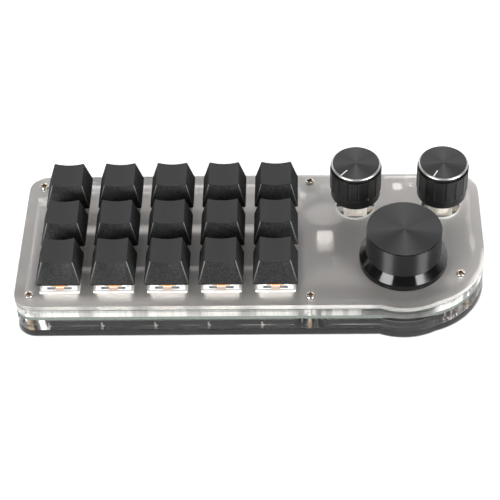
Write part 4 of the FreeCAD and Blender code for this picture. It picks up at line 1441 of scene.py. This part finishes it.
def make_rivets():
    """Brass ring on the right ear of each small encoder's frame."""
    for side in small_sides:
        x, y, z = np.array([*knob_places[side], box(f"{side}_encoder_frame")[0][2]]) + rivet_offset
        outer, hole = (hole_loop(x, y, radius, 32) for radius in (rivet_radius, rivet_hole_radius))
        points, faces = cut_sheet(outer, [hole], z, z + rivet_height, 0.1)
        piece(f"{side}_encoder_rivet", points, faces, finishes["brass"], "case", (), "brass_standoff")


make_screws()
make_standoffs()
make_rivets()


# CAD nodes that keep their shape get their finish


def dress(node, finish_name):
    slots = nodes[node].data.materials
    slots.clear()
    slots.append(finishes[finish_name])


for node, finish_name in {
    "switch_bases": "switch_white", "switch_covers": "switch_cover", "switch_sockets": "socket",
    "board_header": "header", "controller_chip": "chip", "encoder_bases": "encoder_base",
    "usb_socket": "usb_metal", "bottom_screws": "bottom_screw_metal",
}.items():
    dress(node, finish_name)
for tag in key_tags:
    dress(f"switch_stem_{tag}", "stem")
for side in sides:
    dress(f"{side}_encoder_frame", "right_encoder_metal" if side == "right" else "left_encoder_metal")
    dress(f"{side}_encoder_rotor", "rotor")
    dress(f"{side}_shaft", f"{side}_shaft")
    dress(f"{side}_set_screw", "grub_metal")


# Floor, light and camera


def cleared(holder):
    """Empty node tree of a material or world."""
    holder.use_nodes = True
    holder.node_tree.nodes.clear()
    return holder.node_tree


def make_floor():
    """White floor: diffuse, so that the object's shadow falls on it, with a share of plain white for every ray
    that sees it as background, dimmed near the object by ambient occlusion as a painted contact shadow."""
    mesh = bpy.data.meshes.new("floor")
    far = 4.0
    mesh.from_pydata([(-far, -far, 0), (far, -far, 0), (far, far, 0), (-far, far, 0)], [], [(0, 1, 2, 3)])
    floor = bpy.data.objects.new("floor", mesh)
    floor.location.z = -0.00005
    bpy.context.scene.collection.objects.link(floor)
    material = bpy.data.materials.new("white_floor")
    owner = cleared(material)
    diffuse = add("BsdfDiffuse", None, owner, Color=grey(0.8)).outputs[0]
    paths = add("LightPath", None, owner).outputs
    seen = total(times(paths["Is Glossy Ray"], 0.3), paths["Is Camera Ray"], paths["Is Transmission Ray"])
    # Painted contact shadow: ambient occlusion dims the white share near the object
    contact = add("AmbientOcclusion", {"samples": 8}, owner, Distance=0.0013).outputs["AO"]
    strength = times(seen, remap(contact, 0.62, 0.74, 0.02, 1.0), 0.72)
    glow = add("Emission", Color=grey(1.0), Strength=strength).outputs[0]
    both = add("AddShader", i0=diffuse, i1=glow)
    add("OutputMaterial", i0=both.outputs[0])
    mesh.materials.append(material)


def make_world():
    """Studio: white backdrop behind the object, a dark room in front of it, plain white wherever the camera
    sees it."""
    world = bpy.data.worlds.new("studio")
    bpy.context.scene.world = world
    owner = cleared(world)
    paths = add("LightPath", None, owner).outputs
    _, y, z = split(add("TexCoord", None, owner).outputs["Generated"])
    strength = blend_value(paths["Is Glossy Ray"], 0.2, remap(y, -0.1, 0.6, 0.02, 1.0))
    strength = blend_value(paths["Is Transmission Ray"], strength, remap(z, 0.05, 0.4, 1.0, 0.2))
    strength = blend_value(paths["Is Camera Ray"], strength, 1.0)
    sky = add("Background", Color=grey(1.0), Strength=strength)
    add("OutputWorld", i0=sky.outputs[0])


def make_lamp(name, bearing_degrees, elevation_degrees, distance, width, height, power):
    """Square softbox that looks at the middle of the object."""
    lamp = bpy.data.lights.new(name, "AREA")
    lamp.shape = "RECTANGLE"
    lamp.size, lamp.size_y = width, height
    lamp.energy = power
    made = bpy.data.objects.new(name, lamp)
    turn, rise = math.radians(bearing_degrees), math.radians(elevation_degrees)
    direction = Vector((math.cos(turn) * math.cos(rise), math.sin(turn) * math.cos(rise), math.sin(rise)))
    made.location = direction * distance
    made.rotation_euler = direction.to_track_quat("Z", "Y").to_euler()
    bpy.context.scene.collection.objects.link(made)


def make_camera():
    """Camera found from the photograph: place in metres, and its right, up and forward directions."""
    place = Vector((0.023972, -0.462473, 0.498947))
    right = Vector((0.999292, 0.019476, -0.032184))
    up = Vector((0.008007, 0.725822, 0.687836))
    forward = Vector((-0.036756, 0.687606, -0.725153))
    camera = bpy.data.cameras.new("camera")
    camera.sensor_width = 36.0
    camera.lens = 120.63
    made = bpy.data.objects.new("camera", camera)
    turn = Matrix((right, up, -forward)).transposed().to_4x4()
    made.matrix_world = Matrix.Translation(place) @ turn
    bpy.context.scene.collection.objects.link(made)
    bpy.context.scene.camera = made


make_floor()
make_world()
make_lamp("left_softbox", -131, 11, 1.1, 0.5, 0.4, 15.2)
make_lamp("right_softbox", -40, 11, 1.1, 0.5, 0.4, 13.5)
make_lamp("left_strip", -131, 35, 1.1, 0.5, 0.14, 1.3)
make_lamp("right_strip", -40, 32, 1.1, 0.5, 0.14, 1.3)
make_lamp("back_softbox", 90, 28, 1.5, 2.4, 0.8, 11.0)
make_lamp("top_softbox", 90, 88, 1.3, 1.0, 1.0, 0.8)
make_camera()
bpy.context.scene.view_settings.view_transform = "Standard"
